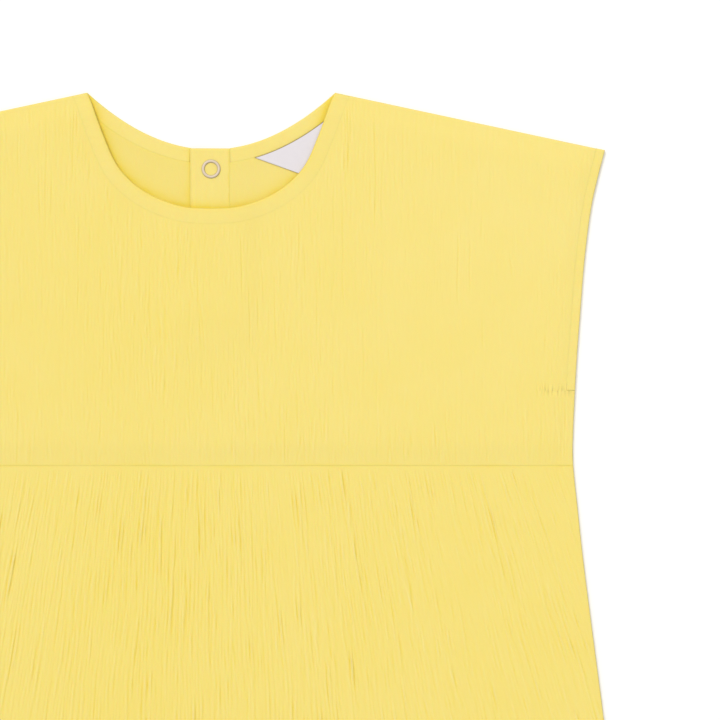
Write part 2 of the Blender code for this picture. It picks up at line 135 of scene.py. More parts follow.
FREE_ROLL = 0.9  # radius of a turned edge
SEAM_DIP = 0.05  # how far the cloth dips into a seam
SEAM_WIDTH = 0.8
BAND_SEAM_DIP = 0.015  # a band's seam is pressed flat
JOINT = 0.01  # from a seam's middle to the cloth on each side
SEAM_FILL = 0.25  # how far the front reaches down to the back where they are sewn together
UNDER_RIDGES = 0.1  # the underside's troughs start this far above its ridges
BAND_ROLL = 0.7
SEWN_SIDE = 9.3  # where the upper lap is sewn to the back, across
LOWER_LAP_END = 6.4  # the lower lap ends inside that seam
LAP_FACE = 2.6  # height of the upper lap's face at its fold
BESIDE_LAP = 0.45  # how much the back rises beside it, over the seam allowance
BESIDE_LAP_FADE = 12.0  # and how far below the placket that ends
LAP_FALL = (LAP_FACE - WALL - BESIDE_LAP) / (SEWN_SIDE + PLACKET_HALF)
LAP_OVER_NECK = 0.5  # how far the upper lap's top stands above the neckline
FOLD_REACH = 0.6  # how far its folded edge bulges out
FOLD_DROP = 0.45  # how much lower the face is at that bulge
FOLD_THINNED = 0.2  # how much thinner the lap is towards its fold
LAP_WALL = 0.9
SEAM_LINE = 0.25  # depth of the deeper colour along its seam
STITCH_LENGTH = 2.6
STITCH_INSET = 0.9  # from a band's seam to its row of stitches
ALLOWANCE = 4.0  # the seam allowance that shows on the inside of the back, under its band
ALLOWANCE_STEP = 0.12  # how much it stands proud
NECK_END_REACH = 14.0  # from a neck edge's end, where it turns along the shoulder
BACK_ROLL = 0.5  # radius of the back's edges
STITCH_DEPTH = 0.045
HEM_STEP = 0.35  # the turned hem stands this much proud
HEM_STITCH = (1.2, 0.22)  # from its step to its row of stitches, and how deep that is

# --- Crinkles ----------------------------------------------------------------------------

LATTICE_ACROSS = 0.25
LATTICE_ALONG = 1.5
LATTICE_SHAPE = (320, 1800)  # rows, columns
SHARPNESS = 0.45  # how far the stronger crinkles stand out from the weaker ones
SPACING_SPREAD = 0.75  # how uneven the spacing of the fine crinkles is

# Main creases of the front bodice: narrow troughs that run down the cloth.
BODICE_CREASES = [  # across, from, to, depth share, lean
    (-34.5, 65, 75, 0.6, 0.0),
    (-15.3, 65, 71, 0.8, 0.0),
    (-15.0, 76, 89, 1.2, 0.5),
    (-21.5, 69, 75, 0.9, 0.5),
    (-22.0, 84, 104, 0.8, 2.0),
    (-32.5, 94, 114, 0.8, 0.0),
    (-30.5, 94, 119, 1.1, 0.5),
    (-22.5, 104, 124, 0.7, 0.0),
    (-22.5, 136, 151, 0.7, 0.0),
    (-10.5, 104, 126, 0.8, 0.0),
    (-10.5, 131, 149, 0.6, 0.0),
    (-10.8, 154, 167, 0.7, 0.5),
    (-7.0, 85, 104, 0.9, 1.0),
    (-8.5, 95, 103, 0.9, 0.0),
    (-5.0, 106, 129, 1.0, 2.0),
    (0.5, 139, 164, 0.7, 1.0),
    (12.0, 124, 134, 0.9, 0.0),
    (11.5, 138, 147, 1.0, 0.0),
    (15.5, 71, 99, 1.3, 0.0),
    (17.5, 163, 179, 0.7, 0.0),
    (19.5, 96, 129, 1.0, 0.0),
    (23.5, 103, 119, 1.0, 0.0),
    (23.5, 135, 154, 0.9, 0.5),
    (25.5, 84, 99, 0.7, 0.5),
    (31.5, 89, 129, 0.8, 1.5),
    (36.5, 164, 184, 1.1, 1.0),
    (38.0, 156, 167, 0.8, 0.0),
    (43.5, 85, 93, 0.8, 0.0),
    (44.0, 65, 85, 1.2, 0.3),
    (43.5, 151, 169, 1.0, 0.3),
    (46.5, 169, 176, 1.0, 0.0),
    (47.0, 79, 95, 1.0, 0.0),
    (49.0, 164, 180, 0.9, 1.0),
    (53.0, 109, 126, 0.7, 0.0),
    (55.0, 86, 99, 0.9, 0.0),
    (55.0, 129, 137, 0.8, 0.3),
    (55.0, 158, 174, 1.0, 0.5),
    (61.5, 91, 99, 0.8, 0.0),
    (61.5, 141, 151, 1.1, 0.0),
    (66.0, 61, 85, 0.9, 0.0),
    (66.0, 88, 105, 1.0, 0.5),
    (67.0, 2, 16, 1.4, 0.0),
    (68.3, 2, 40, 1.4, 0.5),
    (69.6, 9, 29, 1.2, 0.0),
    (79.5, 34, 60, 0.8, 0.0),
    (82.0, 9, 64, 1.1, 0.5),
    (85.5, 35, 64, 0.8, 0.0),
    (90.0, 175, 184, 1.0, 0.5),
    (96.0, 13, 50, 0.6, 0.0),
    (96.0, 173, 186, 1.1, 1.0),
    (105.0, 173, 184, 1.0, 1.0),
    (111.0, 163, 175, 0.9, 2.0),
    (123.5, 71, 105, 1.1, 0.0),
    (129.5, 74, 99, 0.9, 0.3),
    (135.0, 65, 72, 0.7, 0.0),
    (136.0, 113, 127, 0.9, 0.0),
    (149.5, 83, 92, 0.9, 1.0),
    (165.0, 165, 176, 1.0, 0.5),
    (167.0, 121, 129, 1.1, 0.0),
    (177.0, 156, 170, 1.0, 0.5),
]

# Main creases of the front skirt. They follow the fan of the gathers.
SKIRT_CREASES = [  # across at the waist, from, to (below the waist), depth share, lean
    (-41.5, 6, 47, 1.0, -1.5),
    (-36.2, 4, 27, 0.9, 0.0),
    (-31.0, 15, 37, 1.0, 0.0),
    (-25.6, 17, 57, 1.0, 0.0),
    (-13.3, 6, 27, 0.9, 0.0),
    (-12.0, 17, 47, 1.0, 0.0),
    (-5.3, 7, 47, 0.8, 0.0),
    (-2.4, 7, 52, 1.3, 0.0),
    (0.5, 62, 95, 1.0, 0.0),
    (7.8, 51, 67, 0.9, 0.0),
    (11.8, 4, 37, 1.3, 0.0),
    (15.2, 6, 27, 0.9, 0.0),
    (19.5, 20, 57, 1.0, 1.5),
    (20.3, 14, 27, 1.1, 0.0),
    (29.3, 55, 92, 1.2, 0.5),
    (43.6, 40, 51, 0.9, 1.0),
    (46.0, 7, 27, 0.9, 0.0),
    (47.3, 60, 73, 0.9, 0.0),
    (53.0, 5, 20, 0.9, 0.0),
    (57.7, 7, 40, 1.2, 1.5),
    (57.5, 46, 68, 1.0, 0.0),
    (64.0, 12, 47, 1.1, 0.5),
    (66.7, 46, 90, 1.2, 0.0),
    (70.3, 50, 78, 1.0, 1.0),
    (72.6, 23, 40, 1.0, 0.5),
    (78.6, 9, 27, 0.9, 0.0),
    (79.0, 55, 76, 0.9, 0.0),
    (84.6, 9, 67, 1.2, 5.8),
    (90.5, 9, 40, 1.0, 2.7),
    (93.7, 4, 26, 0.8, 2.5),
    (97.4, 40, 63, 1.0, 1.2),
    (106.0, 3, 20, 0.9, 0.0),
    (118.3, 26, 48, 1.0, 1.0),
    (128.2, 46, 68, 1.0, 0.0),
    (129.7, 3, 17, 1.1, 0.6),
    (133.5, 6, 73, 1.2, 0.0),
    (139.6, 20, 40, 1.0, 0.0),
    (140.0, 45, 66, 1.0, 0.0),
    (142.8, 6, 16, 1.1, 0.5),
    (152.0, 46, 56, 0.9, 0.6),
    (153.7, 65, 88, 0.9, 0.0),
    (165.5, 37, 50, 0.8, 0.0),
    (167.4, 2, 17, 0.8, 0.0),
]
MIRRORED_FROM = 50.0  # creases farther out than this are repeated on the unseen left
CREASE_DEPTH = 0.155
CREASE_WIDTH = 0.4
SKIRT_CRINKLE = 0.068  # usual height of the fine crinkles
BODICE_CRINKLE = 0.029

# Painted shade: the cloth's colour is made deeper in its troughs, on the side of a crinkle that is
# turned from the light, and close under the edges that lie over it; the lit side of a crinkle gets
# painted light.
SHADE_SHIFT = 0.35  # how far the painted shade lies beside a trough
RELIEF_SHADE_SHARE = 0.65  # how much of the relief goes into the colour, as painted shade and light
UNDER_NECKLINE = (0.6, 0.5)  # depth of painted shade under the front neckline, at its left and right
UNDER_NECKLINE_REACH = 2.1
CORNER_SHADE = 0.45  # more of it in the right corner of the neck
CORNER_START, CORNER_SPAN = 42.0, 14.0  # where it begins, and over how much it grows
UNDER_BAND = (0.12, 1.4)  # depth and reach of painted shade close under the back neck band
SEWN_LINE = (0.14, 0.35)  # depth and half width of the painted shade along the line where the allowance is sewn down
BESIDE_PLACKET = 0.48  # depth of painted shade along the free edge of the upper lap
BESIDE_PLACKET_REACH = (1.2, 3.0)  # how far it goes at the top, and below the snap
EDGE_SHADE = 0.3  # depth of painted shade on a front band's free edge
EDGE_SHADE_REACH = 0.8

INSIDE_TONES = [  # across, down, spread across, spread down, how much paler
    (30.0, 40.0, 18.0, 22.0, 0.04),
    (-30.0, 40.0, 30.0, 30.0, -0.02),
]
# These two tables follow the crinkles, as painted shade: deeper where they are strong, paler where
# they are weak.
BODICE_TONES = [  # across, down, spread across, spread down, how much paler
    (160.0, 60.0, 80.0, 70.0, 0.08),
    (-40.0, 110.0, 50.0, 80.0, -0.05),
]
SKIRT_TONES = [  # across at the waist, below the waist, spread across, spread down, paler
    (0.0, 110.0, 400.0, 160.0, -0.055),
    (-35.0, 60.0, 30.0, 90.0, -0.06),
]
WAIST_SEAM_SHADE = -0.15  # painted shade in the waist seam

# Where the fine crinkles are stronger or weaker than usual.
SKIRT_PATCHES = [  # across at the waist, below the waist, spread across, spread down, extra
    (-30.0, 50.0, 26.0, 90.0, 0.4),
    (-4.0, 60.0, 12.0, 80.0, 0.35),
    (60.0, 60.0, 50.0, 80.0, 0.3),
    (18.0, 30.0, 7.0, 50.0, 0.3),
    (36.0, 35.0, 7.0, 40.0, -0.6),
    (60.0, 30.0, 14.0, 50.0, 0.3),
    (74.0, 30.0, 5.0, 30.0, -0.3),
    (88.0, 30.0, 9.0, 40.0, 0.2),
    (115.0, 60.0, 8.0, 50.0, -0.6),
    (140.0, 40.0, 16.0, 60.0, 0.2),
    (172.0, 40.0, 12.0, 80.0, -0.4),
]
BODICE_PATCHES = [  # across, down, spread across, spread down, extra
    (-30.0, 110.0, 22.0, 60.0, 0.6),
    (-8.0, 90.0, 7.0, 30.0, 0.5),
    (8.0, 112.0, 12.0, 18.0, -0.9),
    (20.0, 140.0, 16.0, 40.0, 0.3),
    (42.0, 170.0, 20.0, 20.0, 0.5),
    (69.0, 25.0, 4.0, 30.0, 1.6),
    (105.0, 110.0, 34.0, 60.0, -0.7),
    (155.0, 70.0, 40.0, 60.0, -0.7),
    (100.0, 178.0, 26.0, 8.0, 0.8),
    (160.0, 140.0, 24.0, 30.0, -0.3),
    (172.0, 170.0, 10.0, 18.0, 0.7),
]


# --- Curves and heights ------------------------------------------------------------------


def smooth_step(t):
    t = np.clip(t, 0.0, 1.0)
    return t * t * (3.0 - 2.0 * t)


def smooth_curve(points, steps=8):
    """Points along the Catmull-Rom curve through the given ones."""
    points = np.array(points, float)
    before = 2 * points[0] - points[1]
    after = 2 * points[-1] - points[-2]
    p = np.vstack([before, points, after])
    t = (np.arange(steps) / steps)[:, None]
    spans = [
        p[i]
        + 0.5 * t * (p[i + 1] - p[i - 1])
        + t**2 * (p[i - 1] - 2.5 * p[i] + 2 * p[i + 1] - 0.5 * p[i + 2])
        + t**3 * (1.5 * (p[i] - p[i + 1]) + 0.5 * (p[i + 2] - p[i - 1]))
        for i in range(1, len(points))
    ]
    return np.vstack([*spans, points[-1:]])


def evenly_spaced(points, count):
    """The same line again, as points an equal distance apart."""
    steps = np.linalg.norm(np.diff(points, axis=0), axis=1)
    along = np.concatenate([[0.0], np.cumsum(steps)])
    at = np.linspace(0.0, along[-1], count)
    return np.column_stack([np.interp(at, along, points[:, k]) for k in (0, 1)])


SIDE_CURVE = smooth_curve(SIDE_OUTLINE)


def side_edge(down):
    return np.interp(down, SIDE_CURVE[:, 0], SIDE_CURVE[:, 1])


def shoulder(across):
    return SHOULDER_SLOPE * (np.abs(across) - NECK_HALF)


def below_shoulder(across, down):
    return (down - shoulder(across)) / math.hypot(1.0, SHOULDER_SLOPE)


def front_neck_edge(count):
    right = smooth_curve(FRONT_NECK)
    left = right[:0:-1] * [-1, 1]
    return evenly_spaced(np.vstack([left, right]), count)


def back_neck_edge(across):
    share = 1.0 - (across / NECK_HALF) ** 2
    return np.column_stack([across, BACK_NECK_DROP * share])


def set_back(edge, width):
    """A neck edge moved into the cloth by width, with its ends slid along the shoulder."""
    tangent = np.gradient(edge, axis=0)
    normal = np.column_stack([-tangent[:, 1], tangent[:, 0]])
    normal /= np.linalg.norm(normal, axis=1)[:, None]
    along_shoulder = np.column_stack(
        [np.sign(edge[:, 0]), np.full(len(edge), SHOULDER_SLOPE)]
    )
    along_shoulder /= math.hypot(1.0, SHOULDER_SLOPE)
    near_end = smooth_step(1.0 - (NECK_HALF - np.abs(edge[:, 0])) / NECK_END_REACH)[:, None]
    direction = (1 - near_end) * normal + near_end * along_shoulder
    direction /= np.linalg.norm(direction, axis=1)[:, None]
    return edge + width * direction


def front_inside(across, down):
    """The height of the front's inside, which rises off its seams and over the placket."""
    from_side = side_edge(down) - np.abs(across)
    rise = 1.0
    for from_seam in (below_shoulder(across, down), from_side, WAIST - down):
        rise = rise * smooth_step(from_seam / LIFT_REACH)
    over_placket = smooth_step((LIFTED_HALF - np.abs(across)) / LIFTED_SLOPE[0])
    over_placket = over_placket * smooth_step((LIFTED_END - down) / LIFTED_SLOPE[1])
    return FRONT_HEIGHT + rise * (FRONT_LIFT + PLACKET_LIFT * over_placket)


def rolled(distance, radius):
    """How far a cloth's face lies under its full height, this far from a rolled edge."""
    left = np.clip(radius - distance, 0.0, radius)
    return radius - np.sqrt(radius**2 - left**2)


def seam_dip(distance, along, depth=SEAM_DIP):
    """A soft, slightly uneven dip beside a seam."""
    uneven = 1.0 + 0.25 * np.sin(0.37 * along) + 0.2 * np.sin(0.93 * along + 1.0)
    return depth * uneven * np.exp(-((distance / SEAM_WIDTH) ** 2))


def distance_to(line, across, down):
    """The distance of each place from a line's points, which lie close together."""
    nearest = np.full(across.shape, np.inf)
    for x, y in line:
        nearest = np.minimum(nearest, (across - x) ** 2 + (down - y) ** 2)
    return np.sqrt(nearest)


NECKLINE_CURVE = np.abs(front_neck_edge(360)[180:])


def neckline_shade(across, down):
    """Painted shade: how much deeper the back's colour is under the front neckline."""
    near = np.exp(-distance_to(NECKLINE_CURVE, np.abs(across), down) / UNDER_NECKLINE_REACH)
    corner = CORNER_SHADE * smooth_step((across - CORNER_START) / CORNER_SPAN)
    return near * (np.where(across < 0, *UNDER_NECKLINE) + corner)


def back_seam_shade(across, from_neck):
    """Painted shade close under the back neck band, and faintly along the line where it is sewn
    down.
    """
    under_band = UNDER_BAND[0] * np.exp(-from_neck / UNDER_BAND[1])
    sewn_line = SEWN_LINE[0] * np.exp(-(((from_neck - ALLOWANCE + 0.4) / SEWN_LINE[1]) ** 2))
    broken = 0.6 + 0.4 * np.sin(0.35 * across + 2.0 * np.sin(0.13 * across))
    return under_band + sewn_line * np.clip(broken, 0.0, None)


def waist_seam_shade(across, below_seam):
    """Painted shade in the waist seam, a little uneven, and here and there interrupted."""
    broken = 0.7 + 0.3 * np.sin(0.11 * across + 1.6 * np.sin(0.037 * across))
    wobble = 0.25 * np.sin(0.045 * across + 1.0) + 0.15 * np.sin(0.21 * across)
    return WAIST_SEAM_SHADE * broken * np.exp(-(((below_seam - wobble) / SEAM_WIDTH) ** 2))


def beside_lap(across, down):
    """How much the back's face rises beside the sewn side of the upper lap."""
    near = smooth_step((LIFTED_HALF - across) / LIFTED_SLOPE[0]) * (across > 0)
    above_end = smooth_step((PLACKET_END - down) / BESIDE_LAP_FADE + 1.0)
    return BESIDE_LAP * near * above_end


def placket_shade(across, down):
    """Painted shade: how much deeper the back's colour is along the upper lap's left edge."""
    below_snap = smooth_step((down - SNAP_DOWN - SNAP_OUTER_RADIUS + 0.9) / 12.0)
    reach = np.interp(below_snap, (0.0, 1.0), BESIDE_PLACKET_REACH)
    from_lap = np.abs(PLACKET_HALF + across)
    above_end = smooth_step((PLACKET_END + 2.0 - down) / 4.0)
    return BESIDE_PLACKET * np.exp(-from_lap / reach) * above_end


# --- Crinkles ----------------------------------------------------------------------------


def crinkle_lattice(seed, spacing, run):
    """Fine uneven crinkles: heights on a lattice, this far apart and about this long."""
    rng = np.random.default_rng(seed)
    rows, columns = LATTICE_SHAPE
    noise = np.fft.fft2(rng.standard_normal((rows, columns)))
    across = np.abs(np.fft.fftfreq(columns, LATTICE_ACROSS))[None, :]
    along = np.fft.fftfreq(rows, LATTICE_ALONG)[:, None]
    band = np.exp(-(((across * spacing - 1.0) / SPACING_SPREAD) ** 2))
    field = np.fft.ifft2(noise * band * np.exp(-((along * run) ** 2))).real
    return field / field.std()


def sampled(lattice, u, v):
    """The lattice's height at places in millimetres; it repeats past its ends."""
    rows, columns = lattice.shape
    x = u / LATTICE_ACROSS
    y = v / LATTICE_ALONG
    x0 = np.floor(x).astype(int)
    y0 = np.floor(y).astype(int)
    fx, fy = x - x0, y - y0
    x0, x1 = x0 % columns, (x0 + 1) % columns
    y0, y1 = y0 % rows, (y0 + 1) % rows
    upper = lattice[y0, x0] * (1 - fx) + lattice[y0, x1] * fx
    lower = lattice[y1, x0] * (1 - fx) + lattice[y1, x1] * fx
    return upper * (1 - fy) + lower * fy


def patch_sum(u, v, patches):
    total = np.zeros(np.broadcast(u, v).shape)
    for at_u, at_v, spread_u, spread_v, extra in patches:
        total += extra * np.exp(-(((u - at_u) / spread_u) ** 2) - ((v - at_v) / spread_v) ** 2)
    return total


def patch_strength(u, v, patches):
    return np.clip(1.0 + patch_sum(u, v, patches), 0.08, None)


def with_mirrored(creases):
    """The creases, and those far out once more on the other side, a little changed."""
    return creases + [
        (-u, start + 3.0, end + 2.0, depth, -lean)
        for u, start, end, depth, lean in creases
        if u > MIRRORED_FROM
    ]


def crease_relief(u, v, creases):
    """Narrow troughs with softly raised sides, that fade out at their ends."""
    relief = np.zeros(np.broadcast(u, v).shape)
    for number, (at, start, end, depth, lean) in enumerate(creases):
        share = np.clip((v - start) / (end - start), -0.2, 1.2)
        sway = 0.25 * np.sin(0.16 * v + number)
        off = (u - at - lean * share - sway) / CREASE_WIDTH
        fade = smooth_step((share + 0.12) / 0.3) * smooth_step((1.12 - share) / 0.3)
        trough = -np.exp(-(off**2)) + 0.35 * np.exp(-((np.abs(off) - 2.0) ** 2))
        relief += CREASE_DEPTH * depth * fade * trough
    return relief


def fine_relief(u, v, seed, spacing, long_run, short_run):
    """Crinkles of two lengths, here a little stronger and there weaker."""
    sway = 0.35 * np.sin(0.09 * v + 0.05 * u) + 0.2 * np.sin(0.06 * v - 0.13 * u + 2.0)
    longer = sampled(crinkle_lattice(seed, spacing, long_run), u + sway, v)
    shorter = sampled(crinkle_lattice(seed + 1, 0.9 * spacing, short_run), u + sway, v)
    swell = sampled(crinkle_lattice(seed + 2, 9.0, 1.5 * long_run), u, v)
    both = 0.72 * longer + 0.72 * shorter
    sharper = both * np.abs(both) ** SHARPNESS
    return sharper * np.clip(1.0 + 0.25 * swell, 0.3, None)


def skirt_fine(u, run, seed):
    return SKIRT_CRINKLE * fine_relief(u, run, seed, 2.05, 30.0, 6.5)


def bodice_fine(across, down, seed):
    return BODICE_CRINKLE * fine_relief(across, down, seed, 2.5, 18.0, 5.0)


def skirt_relief(u, run):
    fine = patch_strength(u, run, SKIRT_PATCHES) * skirt_fine(u, run, 11)
    return fine + crease_relief(u, run, with_mirrored(SKIRT_CREASES))


def bodice_relief(across, down):
    fine = patch_strength(across, down, BODICE_PATCHES) * bodice_fine(across, down, 23)
    return fine + crease_relief(across, down, with_mirrored(BODICE_CREASES))


# --- Building shells ---------------------------------------------------------------------


def placed(across, down, height):
    """Garment places, in millimetres, as points of the part, in metres."""
    across, down, height = np.broadcast_arrays(across, down, height)
    points = [across, GARMENT_LENGTH / 2 - down, height]
    return np.stack(points, axis=-1).reshape(-1, 3) * MM


def grid_faces(index, kept=None):
    """The faces of a grid of vertex numbers, seen from above; repeated corners are dropped."""
    corners = [index[:-1, :-1], index[1:, :-1], index[1:, 1:], index[:-1, 1:]]
    quads = np.stack(corners, axis=-1)
    quads = quads.reshape(-1, 4) if kept is None else quads[kept]
    faces = [list(dict.fromkeys(quad)) for quad in quads.tolist()]
    return [face for face in faces if len(face) > 2]


def border_loops(faces):
    """The closed loops round a set of faces, in the faces' own direction."""
    edges = {(a, b) for face in faces for a, b in zip(face, [*face[1:], face[0]])}
    following = {a: b for a, b in edges if (b, a) not in edges}
    loops = []
    while following:
        first, at = following.popitem()
        loop = [first]
        while at != first:
            loop.append(at)
            at = following.pop(at)
        loops.append(loop)
    return loops


def shell_faces(outer_faces, inner_faces, under):
    """Faces of a closed shell. `under` gives an inner vertex for some of the outer ones."""
    faces = outer_faces + [[under[i] for i in face[::-1]] for face in inner_faces]
    for loop in border_loops(outer_faces):
        start = next(k for k, i in enumerate(loop) if i in under)
        loop = loop[start:] + loop[:start] + [loop[start]]
        stretch = [loop[0]]
        for i in loop[1:]:
            stretch.append(i)
            if i in under:
                faces.append([*stretch[::-1], under[stretch[0]], under[i]])
                stretch = [i]
    return faces


def add_object(name, data):
    thing = bpy.data.objects.new(name, data)
    bpy.context.scene.collection.objects.link(thing)
    return thing


def add_mesh(name, points, faces, material):
    mesh = bpy.data.meshes.new(name)
    mesh.from_pydata(points.tolist(), [], faces)
    mesh.materials.append(material)
    return add_object(name, mesh)


def add_piece(name, points, faces, material, node):
    """Adds a piece of the garment, which replaces the solid of this node."""
    piece = add_mesh(name, points, faces, material)
    piece.data.shade_smooth()
    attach(piece, "root")
    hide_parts(node)
    return piece


def cloth_shell(
    name, index, fine, plain, cloth, material, plain_cloth=None, coarse=None, kept=None,
    below=False,
):
    """Adds a closed cloth shell over a grid: a fine face and, on its other side, a plain one.

    fine and plain are the points of both faces; cloth holds each point's place in the weave and its
    tone with painted shade, for the materials, and plain_cloth those of the plain face, if they
    differ. The plain face takes only the coarse (rows, columns), if they are given. The fine face
    is the upper one unless below is set.
    """
    fine_faces = grid_faces(index, kept)
    plain_faces = fine_faces if coarse is None else grid_faces(index[np.ix_(*coarse)])
    used = sorted({i for face in plain_faces for i in face})
    under = {i: len(fine) + k for k, i in enumerate(used)}
    faces = shell_faces(fine_faces, plain_faces, under)
    if below:
        faces = [face[::-1] for face in faces]
    points = np.vstack([fine, plain[used]])
    node = name.rsplit("_", 1)[0]
    mesh = add_piece(name, points, faces, material, node).data
    places = mesh.attributes.new("cloth", "FLOAT_VECTOR", "POINT")
    plain_cloth = cloth if plain_cloth is None else plain_cloth
    places.data.foreach_set("vector", np.vstack([cloth, plain_cloth[used]]).ravel())


def cloth_places(u, v, shade_and_tone):
    """Places in the weave and how pale or deep the colour is there, painted shade included, for the
    materials.
    """
    u, v, shade_and_tone = np.broadcast_arrays(u, v, shade_and_tone)
    return np.stack([u, v, shade_and_tone], axis=-1).reshape(-1, 3) * MM


def grid_index(across):
    return np.arange(across.size).reshape(across.shape)


def coarse_grid(index, row_step, column_step):
    rows, columns = index.shape
    return coarse_steps(rows, row_step), coarse_steps(columns, column_step)


def coarse_steps(count, step):
    """Every step-th number, with the last."""
    return sorted({*range(0, count, step), count - 1})


def stepped(start, end, step):
    """Places from start to end, close together at both ends, for the rolled edges."""
    ends = np.array(EDGE_STEPS) * min(1.0, 0.4 * (end - start) / EDGE_STEPS[-1])
    middle_count = max(2, round((end - start - 2 * ends[-1]) / step))
    middle = np.linspace(start + ends[-1], end - ends[-1], middle_count + 1)[1:-1]
    return np.concatenate([start + ends, middle, (end - ends)[::-1]])


def row_shares(length, rows):
    """Shares of a column's length for its rows."""
    return stepped(0.0, length, length / rows) / length


# --- Materials ---------------------------------------------------------------------------

THREAD = 0.42 * MM  # between two threads of the weave
TWILL = 0.3 * MM  # between two ribs of the label's tape
WAVE_PERIOD = 2 * math.pi / 20  # of a wave texture of scale 1
CRINKLE_SIZE = (0.9 * MM, 11.0 * MM)  # of the finest crinkles, across and along
DEEPEST, PALEST = -0.45, 0.3  # tones, in millimetres of relief, of the two colours; painted shade goes towards the deep one, painted light on lit crinkles towards the pale one
TURNED_SHADE_START = 0.95  # a face that is turned further from level, as where an edge rolls, gets painted shade


def set_inputs(tree, node, inputs):
    """Sets a node's inputs to values, or links them to sockets."""
    for key, value in inputs.items():
        if isinstance(value, bpy.types.NodeSocket):
            tree.links.new(value, node.inputs[key])
        else:
            node.inputs[key].default_value = value


def add_node(tree, kind, inputs, **settings):
    """A shader node with its inputs and settings."""
    node = tree.nodes.new("ShaderNode" + kind)
    for key, value in settings.items():
        setattr(node, key, value)
    set_inputs(tree, node, inputs)
    return node


def noise(tree, vector, scale, detail=2.0):
    inputs = {"Vector": vector, "Scale": scale, "Detail": detail}
    return add_node(tree, "TexNoise", inputs).outputs["Fac"]


def ramp(tree, value, start, end, low=0.0, high=1.0):
    """Low where the value is at start, high where it is at end, and even in between."""
    inputs = {"Value": value, "From Min": start, "From Max": end, "To Min": low, "To Max": high}
    return add_node(tree, "MapRange", inputs).outputs["Result"]


def mix(tree, share, low, high):
    inputs = {"Factor": share, "A": low, "B": high}
    return add_node(tree, "Mix", inputs, data_type="RGBA").outputs["Result"]


def bump(tree, height, strength, distance, **normal):
    inputs = {"Height": height, "Strength": strength, "Distance": distance * MM, **normal}
    return add_node(tree, "Bump", inputs).outputs["Normal"]


def part_of(tree, vector, axis):
    return add_node(tree, "SeparateXYZ", {"Vector": vector}).outputs[axis]


def cloth_place(tree):
    """The place in the weave (X and Y) and the tone with its painted shade (Z) that the shells
    hold.
    """
    return add_node(tree, "Attribute", {}, attribute_name="cloth").outputs["Vector"]


def painted_shade_where_turned(tree, colour, steep, level, share):
    """Painted shade: the colour, down to a share of it where the face is turned from level to
    steep.
    """
    normal = add_node(tree, "NewGeometry", {}).outputs["Normal"]
    darker = ramp(tree, part_of(tree, normal, "Z"), steep, level, share)
    scaled = add_node(tree, "VectorMath", {"Vector": colour, "Scale": darker}, operation="SCALE")
    return scaled.outputs["Vector"]


def new_material(name):
    material = bpy.data.materials.new(name)
    material.use_nodes = True
    return material, material.node_tree


def with_inputs(material, inputs):
    """The material, with these inputs to its shader."""
    tree = material.node_tree
    set_inputs(tree, tree.nodes["Principled BSDF"], inputs)
    return material


def gauze(name, pale_and_lit_colour, deep_and_shaded_colour, crinkle=0.6):
    """Crinkled cotton: open weave, fine crinkles, and painted shade in the troughs and on faces
    turned from level.
    """
    material, tree = new_material(name)
    places = cloth_place(tree)
    shade_and_tone = ramp(tree, part_of(tree, places, "Z"), DEEPEST * MM, PALEST * MM)
    blotches = ramp(tree, noise(tree, places, 38.0, 3.0), 0.3, 0.7, -0.04, 0.04)
    share = add_node(tree, "Math", {0: shade_and_tone, 1: blotches}, operation="ADD", use_clamp=True)
    colour = mix(tree, share.outputs[0], (*deep_and_shaded_colour, 1.0), (*pale_and_lit_colour, 1.0))
    waves = {
        "Vector": places,
        "Scale": WAVE_PERIOD / THREAD,
        "Distortion": 1.6,
        "Detail": 2.0,
        "Detail Scale": 0.6,
    }
    warp, weft = [
        add_node(tree, "TexWave", waves, bands_direction=direction).outputs["Fac"]
        for direction in ("X", "Y")
    ]
    weave = add_node(tree, "Math", {0: warp, 1: weft}, operation="MULTIPLY").outputs[0]
    per_crinkle = (1 / CRINKLE_SIZE[0], 1 / CRINKLE_SIZE[1], 0.0)
    stretched = add_node(tree, "VectorMath", {0: places, 1: per_crinkle}, operation="MULTIPLY")
    fine = noise(tree, stretched.outputs["Vector"], 1.0)
    inputs = {
        "Base Color": painted_shade_where_turned(tree, colour, 0.5, TURNED_SHADE_START, 0.9),
        "Normal": bump(tree, fine, crinkle, 0.25, Normal=bump(tree, weave, 0.5, 0.05)),
        "Roughness": 0.88,
        "Specular IOR Level": 0.25,
        "Subsurface Weight": 0.18,
        "Subsurface Radius": (1.0, 0.6, 0.15),
        "Subsurface Scale": 1.0 * MM,
        "Sheen Weight": 0.15,
        "Sheen Roughness": 0.5,
        "Sheen Tint": (1.0, 0.93, 0.7, 1.0),
    }
    return with_inputs(material, inputs)


def label_tape():
    """Smooth woven tape with a fine twill, and a painted shadow line along its sewn edge, where the
    band lies over it.
    """
    material, tree = new_material("label_tape")
    places = cloth_place(tree)
    waves = {"Vector": places, "Scale": WAVE_PERIOD / TWILL, "Distortion": 0.8}
    twill = add_node(tree, "TexWave", waves, bands_direction="DIAGONAL").outputs["Fac"]
    shades = (0.70, 0.655, 0.675, 1.0), (0.735, 0.69, 0.71, 1.0)
    tape = mix(tree, noise(tree, places, 160.0), *shades)
    # painted shadow: dark brown along the sewn edge
    clear_of_sewn_shadow = ramp(tree, part_of(tree, places, "Y"), 0.25 * MM, 0.55 * MM)
    inputs = {
        "Base Color": mix(tree, clear_of_sewn_shadow, (0.25, 0.16, 0.04, 1.0), tape),
        "Normal": bump(tree, twill, 0.4, 0.04),
        "Roughness": 0.6,
    }
    return with_inputs(material, inputs)


